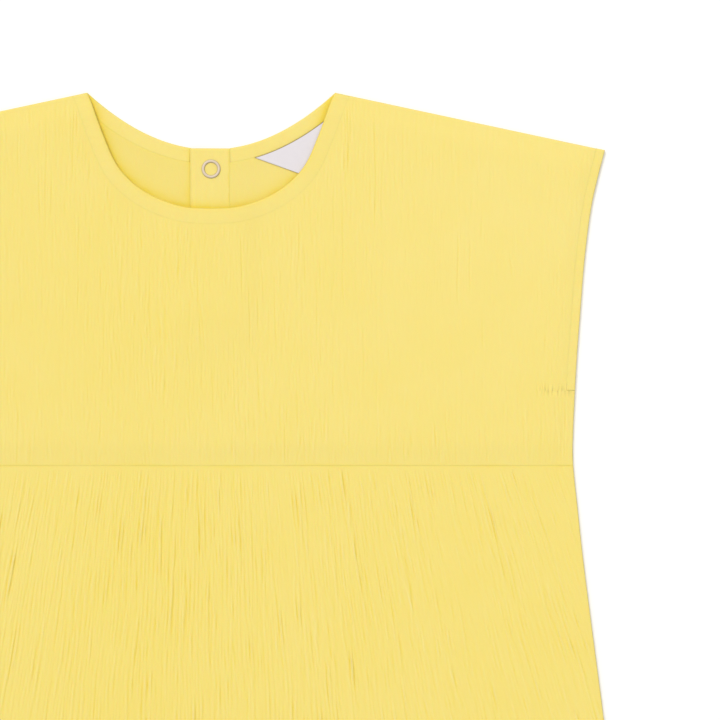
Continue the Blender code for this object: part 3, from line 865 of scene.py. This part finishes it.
def snap_metal():
    """Worn silver with a warm cast, finely scratched."""
    material, tree = new_material("snap_metal")
    coordinates = add_node(tree, "TexCoord", {}).outputs["Object"]
    scratches = noise(tree, coordinates, 1400.0, 4.0)
    colour = mix(tree, scratches, (0.62, 0.515, 0.385, 1.0), (0.76, 0.645, 0.50, 1.0))
    inputs = {
        # painted shade on the ring's sides, where they turn down to the cloth
        "Base Color": painted_shade_where_turned(tree, colour, 0.3, 0.93, 0.55),
        "Roughness": ramp(tree, scratches, 0.0, 1.0, 0.55, 0.75),
        "Normal": bump(tree, scratches, 0.25, 0.02),
        "Metallic": 0.5,
    }
    return with_inputs(material, inputs)


def floor_paper():
    material, tree = new_material("floor_paper")
    coordinates = add_node(tree, "TexCoord", {}).outputs["Object"]
    whites = (0.94, 0.94, 0.94, 1.0), (0.95, 0.95, 0.95, 1.0)
    inputs = {
        "Base Color": mix(tree, noise(tree, coordinates, 6.0), *whites),
        "Roughness": 0.9,
        "Specular IOR Level": 0.1,
    }
    return with_inputs(material, inputs)


# --- Front bodice and skirt --------------------------------------------------------------


def bodice_columns(step, edge):
    right = stepped(0.0, edge, step)
    right = right[np.concatenate([[True], np.diff(right) > 1e-6])]
    inner = right[len(EDGE_STEPS) - 1 :]
    middle = np.linspace(0.0, inner[0], 9)[:-1]
    right = np.concatenate([middle, inner])
    return np.concatenate([-right[:0:-1], right])


STRAIGHT_HALF = 160.0  # columns are upright as far out as this
ARMHOLE_CORNER = 0.06  # from an armhole band's end to where the side reaches its full width


def panel_side(down):
    """Half the width of a bodice panel, which stops short of the armhole band."""
    beside_band = smooth_step((ARMHOLE_END + ARMHOLE_CORNER - down) / ARMHOLE_CORNER)
    return side_edge(down) - beside_band * (ARMHOLE_BAND + JOINT)


def bodice_across(column, down):
    """A column's place across: upright in the middle, and following the side near it."""
    edge = float(side_edge(WAIST))
    share = (np.abs(column) - STRAIGHT_HALF) / (edge - STRAIGHT_HALF)
    outer = STRAIGHT_HALF + share * (panel_side(down) - STRAIGHT_HALF)
    return np.where(share > 0, np.sign(column) * outer, column)


def bodice_top(column, neck_line):
    """How far down each column starts, at the neck band or at the shoulder."""
    top = np.full(len(column), 20.0)
    for _ in range(8):
        across = np.abs(bodice_across(column, top))
        under_neck = np.interp(across, neck_line[:, 0], neck_line[:, 1])
        top = np.where(across <= neck_line[-1, 0], under_neck, shoulder(across))
    return top


def with_column_at(column, across):
    """The columns, with the nearest one moved to this place on both sides."""
    column = column.copy()
    for side in (-1, 1):
        column[np.argmin(np.abs(column - side * across))] = side * across
    return column


def with_rows_at_armhole(down, column):
    """Places down the rows, with two rows moved, near the sides, to where the armholes end."""
    down = down.copy()
    near_side = smooth_step((np.abs(column) - STRAIGHT_HALF + 10.0) / 8.0)
    row = np.argmin(np.abs(down[:, 0] - ARMHOLE_END))
    for offset, place in ((0, ARMHOLE_END), (1, ARMHOLE_END + ARMHOLE_CORNER)):
        down[row + offset] += near_side * (place - down[row + offset])
    return down


def bodice_grid(neck_line, step, rows, bottom):
    column = bodice_columns(step, float(side_edge(WAIST)))
    column = with_column_at(column, neck_line[-1, 0])
    top = bodice_top(column, neck_line)
    share = row_shares(140.0, rows)[:, None]
    down = with_rows_at_armhole(top[None, :] + share * (bottom - top)[None, :], column)
    return bodice_across(column[None, :], down), down


def neck_line_right(edge, width):
    line = set_back(edge, width)
    return line[line[:, 0] >= 0]


def panel_rim(across, down, from_neck, neck_dip, roll):
    """How far places on a bodice panel are from its rim, and how much its face drops there."""
    from_shoulder = below_shoulder(across, down)
    from_side = panel_side(down) - np.abs(across)
    from_waist = WAIST - down
    under_arm, beside_band = rolled(from_side, roll), seam_dip(from_side, down, BAND_SEAM_DIP)
    drops = [
        seam_dip(from_neck, across, neck_dip),
        rolled(from_shoulder, roll),
        np.where(down > ARMHOLE_END, under_arm, beside_band),
        seam_dip(from_waist, across),
    ]
    rim = np.minimum.reduce([from_neck, from_shoulder, from_side, from_waist])
    return rim, np.maximum.reduce(drops)


def front_bodice(material):
    neck = neck_line_right(front_neck_edge(241), FRONT_BAND + JOINT)
    across, down = bodice_grid(neck, BODICE_STEP, BODICE_ROWS, WAIST - JOINT)
    from_neck = distance_to(evenly_spaced(neck, 260), np.abs(across), down)
    rim, drop = panel_rim(across, down, from_neck, BAND_SEAM_DIP, FREE_ROLL)
    calm = smooth_step(rim / 3.0)
    relief = bodice_relief(across, down) * calm
    inside = front_inside(across, down)
    index = grid_index(across)
    coarse_rows, coarse_columns = coarse_grid(index, 7, 10)
    by_neck_end = np.flatnonzero(np.abs(np.abs(across[0]) - NECK_HALF) < 10.0)
    coarse_columns = sorted({*coarse_columns, *by_neck_end.tolist()})
    # painted shade and light: the relief, moved beside its troughs, goes into the colour
    shade_and_tone = RELIEF_SHADE_SHARE * bodice_relief(across + SHADE_SHIFT, down) * calm
    shade_and_tone += patch_sum(across, down, BODICE_TONES) + waist_seam_shade(across, down - WAIST)
    cloth_shell(
        "front_bodice_cloth",
        index,
        placed(across, down, inside + WALL + relief - drop),
        placed(across, down, inside - SEAM_FILL),
        cloth_places(across, down, shade_and_tone),
        material,
        coarse=(coarse_rows, coarse_columns),
    )


def skirt_grid(step, rows):
    """The fan of the skirt's columns, with one vertex number for columns past its side."""
    length = GARMENT_LENGTH - WAIST
    places = bodice_columns(step, float(side_edge(WAIST)))
    margin = len(EDGE_STEPS) - 1
    across, down, fan, index = [], [], [], []
    for share in row_shares(length, rows):
        run = share * length
        edge_down = WAIST + share * (length - HEM_RISE)
        edge = float(side_edge(edge_down))
        spread = 1.0 + run / FAN_APEX
        fanned = places * spread
        kept = np.flatnonzero(np.abs(fanned) < edge - EDGE_STEPS[-1])
        near_edge = edge - np.array(EDGE_STEPS[:-1])
        row = np.concatenate([-near_edge, fanned[kept], near_edge[::-1]])
        row_down = WAIST + JOINT + run - (WAIST + run - edge_down) * (row / edge) ** 2
        number = np.clip(np.arange(len(places)) - kept[0], -1, len(kept)) + margin
        ends = np.arange(margin)
        numbers = np.concatenate([ends, number, margin + len(kept) + ends])
        index.append(len(across) + numbers)
        across += row.tolist()
        down += row_down.tolist()
        fan += [(x / spread, run) for x in row]
    return np.array(across), np.array(down), np.array(fan).T, np.array(index)


def skirt_rim(across, down, run):
    """How far the skirt's relief is kept off its rim, and how much its face drops there.

    At the turned hem the relief is weaker and the face stands proud.
    """
    from_side = side_edge(down) - np.abs(across)
    from_hem = GARMENT_LENGTH - WAIST - run
    hem_calm = 1.0 - 0.55 * smooth_step((HEM_DEPTH + 2.0 - from_hem) / 4.0)
    calm = smooth_step((run - 1.5) / 4.5) * smooth_step(from_side / 3.0) * hem_calm
    hem_fold = HEM_STEP * smooth_step((HEM_DEPTH + 0.3 - from_hem) / 0.6)
    inset, depth = HEM_STITCH
    stitch = depth * np.exp(-(((from_hem - HEM_DEPTH + inset) / 0.35) ** 2))
    drop = np.maximum.reduce(
        [seam_dip(run, across), rolled(from_side, FREE_ROLL), rolled(from_hem, FREE_ROLL)]
    )
    return calm, drop + stitch - hem_fold


def front_skirt(material):
    across, down, (u, run), index = skirt_grid(SKIRT_STEP, SKIRT_ROWS)
    calm, drop = skirt_rim(across, down, run)
    relief = skirt_relief(u, run) * calm
    # painted shade and light: the relief, moved beside its troughs, goes into the colour
    shade_and_tone = RELIEF_SHADE_SHARE * skirt_relief(u + SHADE_SHIFT, run) * calm
    shade_and_tone += patch_sum(u, run, SKIRT_TONES) + waist_seam_shade(across, run)
    cloth_shell(
        "front_skirt_cloth",
        index,
        placed(across, down, FRONT_HEIGHT + WALL + relief - drop),
        placed(across, down, FRONT_HEIGHT - SEAM_FILL),
        cloth_places(u, run, shade_and_tone),
        material,
        coarse=coarse_grid(index, 8, 30),
    )


# --- Back --------------------------------------------------------------------------------


def underside(relief, drop):
    """The height of a back piece's underside, whose ridges rest on the table."""
    return np.clip(UNDER_RIDGES - relief, 0.0, None) + np.clip(drop, 0.0, None)


def back_bodice(material):
    neck = neck_line_right(back_neck_edge(np.linspace(-NECK_HALF, NECK_HALF, 241)), BACK_BAND)
    slit_left, slit_right = -PLACKET_HALF - JOINT, SEWN_SIDE + JOINT
    slit_end = PLACKET_END + JOINT
    left = -stepped(-slit_left, float(side_edge(WAIST)), BACK_STEP)[::-1]
    right = stepped(slit_right, float(side_edge(WAIST)), BACK_STEP)
    middle = np.linspace(slit_left, slit_right, 16)[1:-1]
    column = np.concatenate([left, middle, right])
    column = with_column_at(column, neck[-1, 0])
    top = bodice_top(column, neck)
    upper, lower = row_shares(74.0, BACK_ROWS // 2), row_shares(82.0, BACK_ROWS // 2)[1:]
    down = np.vstack(
        [
            top + upper[:, None] * (slit_end - top),
            slit_end + lower[:, None] * (WAIST - JOINT - slit_end) * np.ones(len(column)),
        ]
    )
    down = with_rows_at_armhole(down, column)
    across = bodice_across(column[None, :], down)
    between = (column[:-1] + column[1:]) / 2
    in_slit = (between > slit_left) & (between < slit_right)
    above_slit_end = np.arange(len(down) - 1) < len(upper) - 1
    kept = ~(above_slit_end[:, None] & in_slit[None, :])

    from_neck = distance_to(evenly_spaced(neck, 200), np.abs(across), down)
    rim, drop = panel_rim(across, down, from_neck, SEAM_DIP, BACK_ROLL)
    beside_slit = np.maximum(slit_left - across, across - slit_right)
    from_slit = np.hypot(np.clip(beside_slit, 0, None), np.clip(down - slit_end, 0, None))
    rim = np.minimum(rim, from_slit)
    by_slit = np.where(across < 0, rolled(from_slit, 0.3), seam_dip(from_slit, down))
    drop = np.maximum(drop, by_slit)
    calm = smooth_step(rim / 3.0)
    raised = beside_lap(across, down) * smooth_step(1.0 + across - slit_right)
    crinkle = bodice_fine(across, down, 37)
    mirrored = crease_relief(-across, down, with_mirrored(BODICE_CREASES))
    under_relief = (1.4 * crinkle + mirrored) * calm
    allowance = ALLOWANCE_STEP * (1.0 - smooth_step((from_neck - ALLOWANCE) / 0.5))
    sewn_line = -0.1 * np.exp(-(((from_neck - ALLOWANCE + 0.5) / 0.3) ** 2))
    upper_relief = (0.15 * crinkle + allowance + sewn_line) * smooth_step(rim / 0.8)
    # painted shade under the front neckline, beside the upper lap and under the back band
    shade = np.maximum(neckline_shade(across, down), placket_shade(across, down))
    shade += back_seam_shade(across, from_neck)
    cloth_shell(
        "back_bodice_cloth",
        grid_index(across),
        placed(across, down, WALL + raised + upper_relief - drop),
        placed(across, down, underside(under_relief, drop)),
        cloth_places(across, down, patch_sum(across, down, INSIDE_TONES) - shade),
        material,
        # painted shade in the underside's troughs
        plain_cloth=cloth_places(across, down, RELIEF_SHADE_SHARE * under_relief),
        kept=kept,
    )


def back_skirt(material):
    across, down, (u, run), index = skirt_grid(BACK_SKIRT_STEP, BACK_ROWS)
    gathers = skirt_fine(u, run, 53)
    gathers += crease_relief(-u, run, with_mirrored(SKIRT_CREASES))
    calm, drop = skirt_rim(across, down, run)
    relief = gathers * calm
    cloth_shell(
        "back_skirt_cloth",
        index,
        placed(across, down, underside(relief, drop)),
        placed(across, down, WALL - rolled(side_edge(down) - np.abs(across), BACK_ROLL)),
        # painted shade and light from the relief, in the colour
        cloth_places(u, run, relief),
        material,
        coarse=coarse_grid(index, 8, 12),
        below=True,
    )


# --- Bands -------------------------------------------------------------------------------


def band_piece(name, edges, floor, under, crown, end_roll, shade, material):
    """A turned band between its free and sewn edges, from left to right, with its stitches.

    floor gives the height that its face lies over, and under that of its underside.
    """
    free_edge, sewn_edge = edges
    width = np.linalg.norm(sewn_edge - free_edge, axis=1)[None, :]
    share = (stepped(0.0, width.max(), 0.55) / width.max())[:, None]
    places = free_edge[None] + share[..., None] * (sewn_edge - free_edge)[None]
    across, down = places[..., 0], places[..., 1]
    steps = np.linalg.norm(np.diff(sewn_edge, axis=0), axis=1)
    along = np.concatenate([[0.0], np.cumsum(steps)])[None, :]
    from_end = np.minimum(along, along[0, -1] - along)
    from_free, from_sewn = share * width, (1.0 - share) * width
    stitch_beat = 0.5 + 0.5 * np.cos(2 * math.pi * along / STITCH_LENGTH)
    stitches = STITCH_DEPTH * stitch_beat * np.exp(-(((from_sewn - STITCH_INSET) / 0.22) ** 2))
    ripple = 0.03 * sampled(crinkle_lattice(71, 5.0, 3.0), along, 6.0 * share)
    relief = (ripple - stitches) * smooth_step(from_end / 1.5)
    bulge = crown * smooth_step(share / 0.15) * smooth_step((1.0 - share) / 0.6)
    drop = np.maximum.reduce(
        [
            rolled(from_free, BAND_ROLL),
            seam_dip(from_sewn, along, BAND_SEAM_DIP) * np.ones(across.shape),
            rolled(from_end, end_roll) * np.ones(across.shape),
        ]
    )
    cloth_shell(
        name,
        grid_index(across),
        placed(across, down, floor(across, down) + WALL + bulge + relief - drop),
        placed(across, down, under(across, down) + 0.5 * rolled(from_free, BACK_ROLL)),
        # shade gives the painted shade in the band's colour
        cloth_places(along, from_free, -shade(across, down, from_free)),
        material,
    )


def front_band_shade(across, down, from_free):
    return EDGE_SHADE * np.exp(-from_free / EDGE_SHADE_REACH)


def back_band_shade(across, down, from_free):
    return np.maximum(neckline_shade(across, down), placket_shade(across, down))


def no_shade(across, down, from_free):
    return 0.0


def on_table(across, down):
    return np.zeros(np.shape(across))


def neck_under(across, down):
    """The underside of the front neck band, which meets the back at the shoulders."""
    inside = front_inside(across, down)
    return inside - SEAM_FILL * (1.0 - smooth_step((inside - FRONT_HEIGHT) / 0.4))


def neck_bands(material):
    edge = front_neck_edge(420)
    band_piece(
        "front_neck_band_cloth",
        (edge, set_back(edge, FRONT_BAND)),
        front_inside,
        neck_under,
        0.12,
        FREE_ROLL,
        front_band_shade,
        material,
    )
    beside_laps = (("left", -1, PLACKET_HALF + JOINT, 0.3), ("right", 1, SEWN_SIDE + JOINT, 0.1))
    for side_name, side, start, end_roll in beside_laps:
        name = f"back_neck_band_{side_name}_cloth"
        edge = back_neck_edge(side * np.linspace(start, NECK_HALF, 130))[::side]
        sewn = set_back(edge, BACK_BAND)
        sewn[0 if side > 0 else -1, 0] = side * start
        lines = edge, sewn
        band_piece(name, lines, beside_lap, on_table, 0.0, end_roll, back_band_shade, material)


def armhole_bands(material):
    """The turned edges of the cap sleeves, on the front and on the back."""
    share = np.linspace(0.0, 1.0, 260)
    outer_down = SHOULDER_TIP_DOWN + share * (ARMHOLE_END - SHOULDER_TIP_DOWN)
    inner_start = SHOULDER_TIP_DOWN - SHOULDER_SLOPE * ARMHOLE_BAND
    inner_down = inner_start + share * (ARMHOLE_END - inner_start)
    outer = np.column_stack([side_edge(outer_down), outer_down])
    inner = np.column_stack([side_edge(inner_down) - ARMHOLE_BAND, inner_down])
    for layer, floor, crown in (("front", front_inside, 0.1), ("back", on_table, 0.0)):
        for side_name, side in (("left", -1), ("right", 1)):
            name = f"{layer}_armhole_band_{side_name}_cloth"
            edges = [(line * [side, 1])[::side] for line in (outer, inner)]
            band_piece(name, edges, floor, floor, crown, 0.12, no_shade, material)


# --- Placket, label and snap -------------------------------------------------------------


def lap_grid(left, right, top, bottom, step):
    x = stepped(left, right, step)
    y = stepped(top, bottom, 2 * step)
    return np.meshgrid(x, y)


def upper_lap(material):
    """The lap that shows: a fold at its left; its right side is sewn to the back."""
    top = BACK_NECK_DROP - LAP_OVER_NECK
    right = SEWN_SIDE - JOINT
    across, down = lap_grid(-PLACKET_HALF, right, top, PLACKET_END, 0.4)
    from_left, from_right = across + PLACKET_HALF, right - across
    from_top, from_bottom = down - top, PLACKET_END - down
    across = across - FOLD_REACH * smooth_step(1.0 - from_left / 4.0)

    face = LAP_FACE - LAP_FALL * (across + PLACKET_HALF)
    face -= FOLD_DROP * smooth_step((FOLD_REACH - PLACKET_HALF - across) / 0.8)
    thinned = FOLD_THINNED * smooth_step(1.0 - from_left / 2.0)
    drop = np.maximum.reduce(
        [
            rolled(from_left, 0.6),
            0.5 * rolled(from_top, 1.2),
            rolled(from_bottom, 0.5),
            seam_dip(from_right, down, SEAM_DIP),
        ]
    )
    ripple = 0.035 * sampled(crinkle_lattice(83, 6.0, 14.0), across, down)
    relief = ripple * smooth_step(np.minimum(from_left, from_right) / 1.5)
    under = np.maximum(face - LAP_WALL, LOWER_LAP_THICKNESS + 0.04)
    beside_lower = smooth_step((across - LOWER_LAP_END - 0.1) / 0.5)
    under += beside_lower * (UNDER_RIDGES - under)
    wavy = 0.22 * np.sin(0.55 * down) + 0.13 * np.sin(1.3 * down + 1.0)
    wavy *= smooth_step((from_top - 6.0) / 6.0)
    seam_line = SEAM_LINE * np.exp(-(((from_right - 0.3 + wavy) / 0.4) ** 2))
    cloth_shell(
        "back_placket_upper_cloth",
        grid_index(across),
        placed(across, down, face - thinned + relief - np.minimum(drop, 0.7)),
        placed(across, down, under),
        # painted shade under the neckline, and the deeper colour along the seam
        cloth_places(across, down, -np.maximum(neckline_shade(across, down), seam_line)),
        material,
    )


def lower_lap(material):
    """The lap in the slit, under the other; its underside is pressed in round the snap's mate."""
    left = FOLD_REACH - PLACKET_HALF
    across, down = lap_grid(left, LOWER_LAP_END, BACK_NECK_DROP, PLACKET_END, 0.5)
    rim = np.minimum.reduce(
        [across - left, LOWER_LAP_END - across, down - BACK_NECK_DROP, PLACKET_END - down]
    )
    from_snap = np.hypot(across, down - SNAP_DOWN)
    pressed = 0.6 * smooth_step((SNAP_OUTER_RADIUS + 1.1 - from_snap) / 0.9)
    ripple = 0.05 * sampled(crinkle_lattice(91, 4.0, 14.0), across, down) * smooth_step(rim)
    cloth_shell(
        "back_placket_lower_cloth",
        grid_index(across),
        placed(across, down, underside(ripple, rolled(rim, 0.4)) + pressed),
        placed(across, down, LOWER_LAP_THICKNESS - rolled(rim, 0.4)),
        # painted shade and light from the ripples, in the colour
        cloth_places(across, down, ripple),
        material,
        below=True,
    )


def label(material):
    """A blank woven label, folded under at its mitred ends, sewn along the neck band."""
    line = neck_line_right(
        back_neck_edge(np.linspace(-NECK_HALF, NECK_HALF, 121)), BACK_BAND + SEAM_GAP
    )
    reach = np.linspace(*LABEL_REACH, 90)
    sewn = np.column_stack([reach, np.interp(reach, line[:, 0], line[:, 1])])
    along = (sewn[-1] - sewn[0]) / np.linalg.norm(sewn[-1] - sewn[0])
    below = np.array([-along[1], along[0]])
    mitre = LABEL_DEPTH * LABEL_MITRE[0] * below, LABEL_DEPTH * LABEL_MITRE[1] * along
    near_corner = sewn[0] + mitre[0] + mitre[1]
    far_corner = sewn[-1] + mitre[0] - mitre[1]
    share = np.linspace(0.0, 1.0, 90)[:, None]
    far = near_corner + share * (far_corner - near_corner)
    depth = stepped(0.0, LABEL_DEPTH, 0.8)[:, None] / LABEL_DEPTH
    places = sewn[None] + depth[..., None] * (far - sewn)[None]
    across, down = places[..., 0], places[..., 1]
    width = np.linalg.norm(far - sewn, axis=1).mean()
    length = float(np.linalg.norm(sewn[-1] - sewn[0]))
    from_end = np.minimum(share, 1.0 - share).T * length
    from_sewn, from_far = depth * width, (1.0 - depth) * width
    rim = np.minimum(np.minimum(from_sewn, from_far) + 0 * from_end, 0.7 * from_end + 0 * depth)
    folded = 0.1 * smooth_step((3.2 - from_end) / 0.8) * np.ones(across.shape)
    drop = rolled(rim, 0.2)
    cloth_shell(
        "label_tape",
        grid_index(across),
        placed(across, down, LABEL_HEIGHT + LABEL_THICKNESS + folded - drop),
        placed(across, down, LABEL_HEIGHT),
        cloth_places(share.T * length, depth * width, 0.0),
        material,
    )


def snap_ring(name, bottom, height, fall, material, node):
    """A stamped ring: round on top, flat below; it lies as level as the cloth under it."""
    middle = SNAP_OUTER_RADIUS - SNAP_WIRE / 2
    angle = np.linspace(0.0, math.pi, 17)
    radius = middle + SNAP_WIRE / 2 * np.cos(angle)
    rise = height * (0.22 + 0.78 * np.sin(angle) ** 0.8)
    lip = 0.06 * height * np.exp(-(((radius - middle + 0.55) / 0.2) ** 2))
    profile = np.vstack(
        [
            [(SNAP_OUTER_RADIUS - 0.08, 0.0)],
            np.column_stack([radius, rise + lip]),
            [(SNAP_OUTER_RADIUS - SNAP_WIRE + 0.08, 0.0)],
        ]
    )
    turns = 2 * math.pi * np.arange(RING_TURNS) / RING_TURNS
    r, z = profile[None, :, 0], profile[None, :, 1]
    across = r * np.cos(turns)[:, None]
    down = SNAP_DOWN - r * np.sin(turns)[:, None]
    points = placed(across, down, bottom + z - fall * across)
    count = len(profile)
    faces = []
    for turn in range(RING_TURNS):
        here, there = turn * count, (turn + 1) % RING_TURNS * count
        for k in range(count):
            after = (k + 1) % count
            faces.append((here + k, there + k, there + after, here + after))
    add_piece(name, points, faces, material, node)


# --- Stage -------------------------------------------------------------------------------

# The photograph's frame is 360 mm wide; its middle lies here on the garment.
VIEW_WIDTH = 360.0
VIEW_ACROSS = 74.5
VIEW_DOWN = 133.75
CAMERA_HEIGHT = 1000.0
LENS = 100.0  # with a 36 mm sensor it takes in VIEW_WIDTH from CAMERA_HEIGHT
FLOOR_HALF = 3.0  # in metres, as is its height, just clear of the cloth
FLOOR_HEIGHT = -0.0002


def add_camera():
    camera = add_object("camera", bpy.data.cameras.new("camera"))
    camera.data.sensor_width = VIEW_WIDTH / CAMERA_HEIGHT * LENS
    camera.data.lens = LENS
    camera.location = placed(VIEW_ACROSS, VIEW_DOWN, CAMERA_HEIGHT + 2.5)[0]
    camera.data.clip_start = 0.05
    camera.data.clip_end = 20.0
    bpy.context.scene.camera = camera


def add_light(name, location, target, size, power):
    light = bpy.data.lights.new(name, "AREA")
    light.shape = "SQUARE"
    light.size = size
    light.energy = power
    lamp = add_object(name, light)
    lamp.location = location
    direction = np.array(target) - np.array(location)
    lamp.rotation_mode = "QUATERNION"
    lamp.rotation_quaternion = Vector(direction).to_track_quat("-Z", "Y")


def add_stage():
    corners = FLOOR_HALF * np.array([(-1, -1, 0), (1, -1, 0), (1, 1, 0), (-1, 1, 0)])
    floor = add_mesh("floor", corners, [(0, 1, 2, 3)], floor_paper())
    floor.location.z = FLOOR_HEIGHT

    world = bpy.data.worlds.new("studio")
    world.use_nodes = True
    background = world.node_tree.nodes["Background"]
    background.inputs["Color"].default_value = (1.0, 1.0, 1.0, 1.0)
    background.inputs["Strength"].default_value = 0.54
    bpy.context.scene.world = world
    add_light("key", (-2.75, 3.5, 9.0), (0.05, 0.05, 0.0), 5.0, 592.0)
    add_light("fill", (1.3, 0.75, 1.4), (0.05, 0.05, 0.0), 1.0, 4.5)
    bpy.context.scene.view_settings.view_transform = "Standard"


# --- The garment -------------------------------------------------------------------------

YELLOW = (0.878, 0.738, 0.277)
PALE_YELLOW = (0.880, 0.743, 0.29)
DEEP_AND_SHADED_YELLOW = (0.838, 0.651, 0.086)
INSIDE_SHADE_SHARE = 0.98  # painted shade: the back's inside is this much darker

bodice_cloth = gauze("bodice_gauze", YELLOW, DEEP_AND_SHADED_YELLOW)
shaded_inside_colours = [tuple(INSIDE_SHADE_SHARE * value for value in tint) for tint in (YELLOW, DEEP_AND_SHADED_YELLOW)]
shaded_inside_cloth = gauze("shaded_inside_gauze", *shaded_inside_colours)
skirt_cloth = gauze("skirt_gauze", YELLOW, DEEP_AND_SHADED_YELLOW)
band_cloth = gauze("band_gauze", PALE_YELLOW, DEEP_AND_SHADED_YELLOW, crinkle=0.15)
placket_cloth = gauze("placket_gauze", PALE_YELLOW, DEEP_AND_SHADED_YELLOW, crinkle=0.25)
metal = snap_metal()

add_camera()
add_stage()
back_skirt(skirt_cloth)
back_bodice(shaded_inside_cloth)
lower_lap(placket_cloth)
upper_lap(placket_cloth)
label(label_tape())
front_skirt(skirt_cloth)
front_bodice(bodice_cloth)
neck_bands(band_cloth)
armhole_bands(band_cloth)
on_lap = LAP_FACE - LAP_FALL * PLACKET_HALF + 0.03
snap_ring("upper_ring", on_lap, UPPER_RING_HEIGHT, LAP_FALL, metal, "snap_ring_upper")
snap_ring("lower_ring", 0.0, LOWER_RING_HEIGHT, 0.0, metal, "snap_ring_lower")
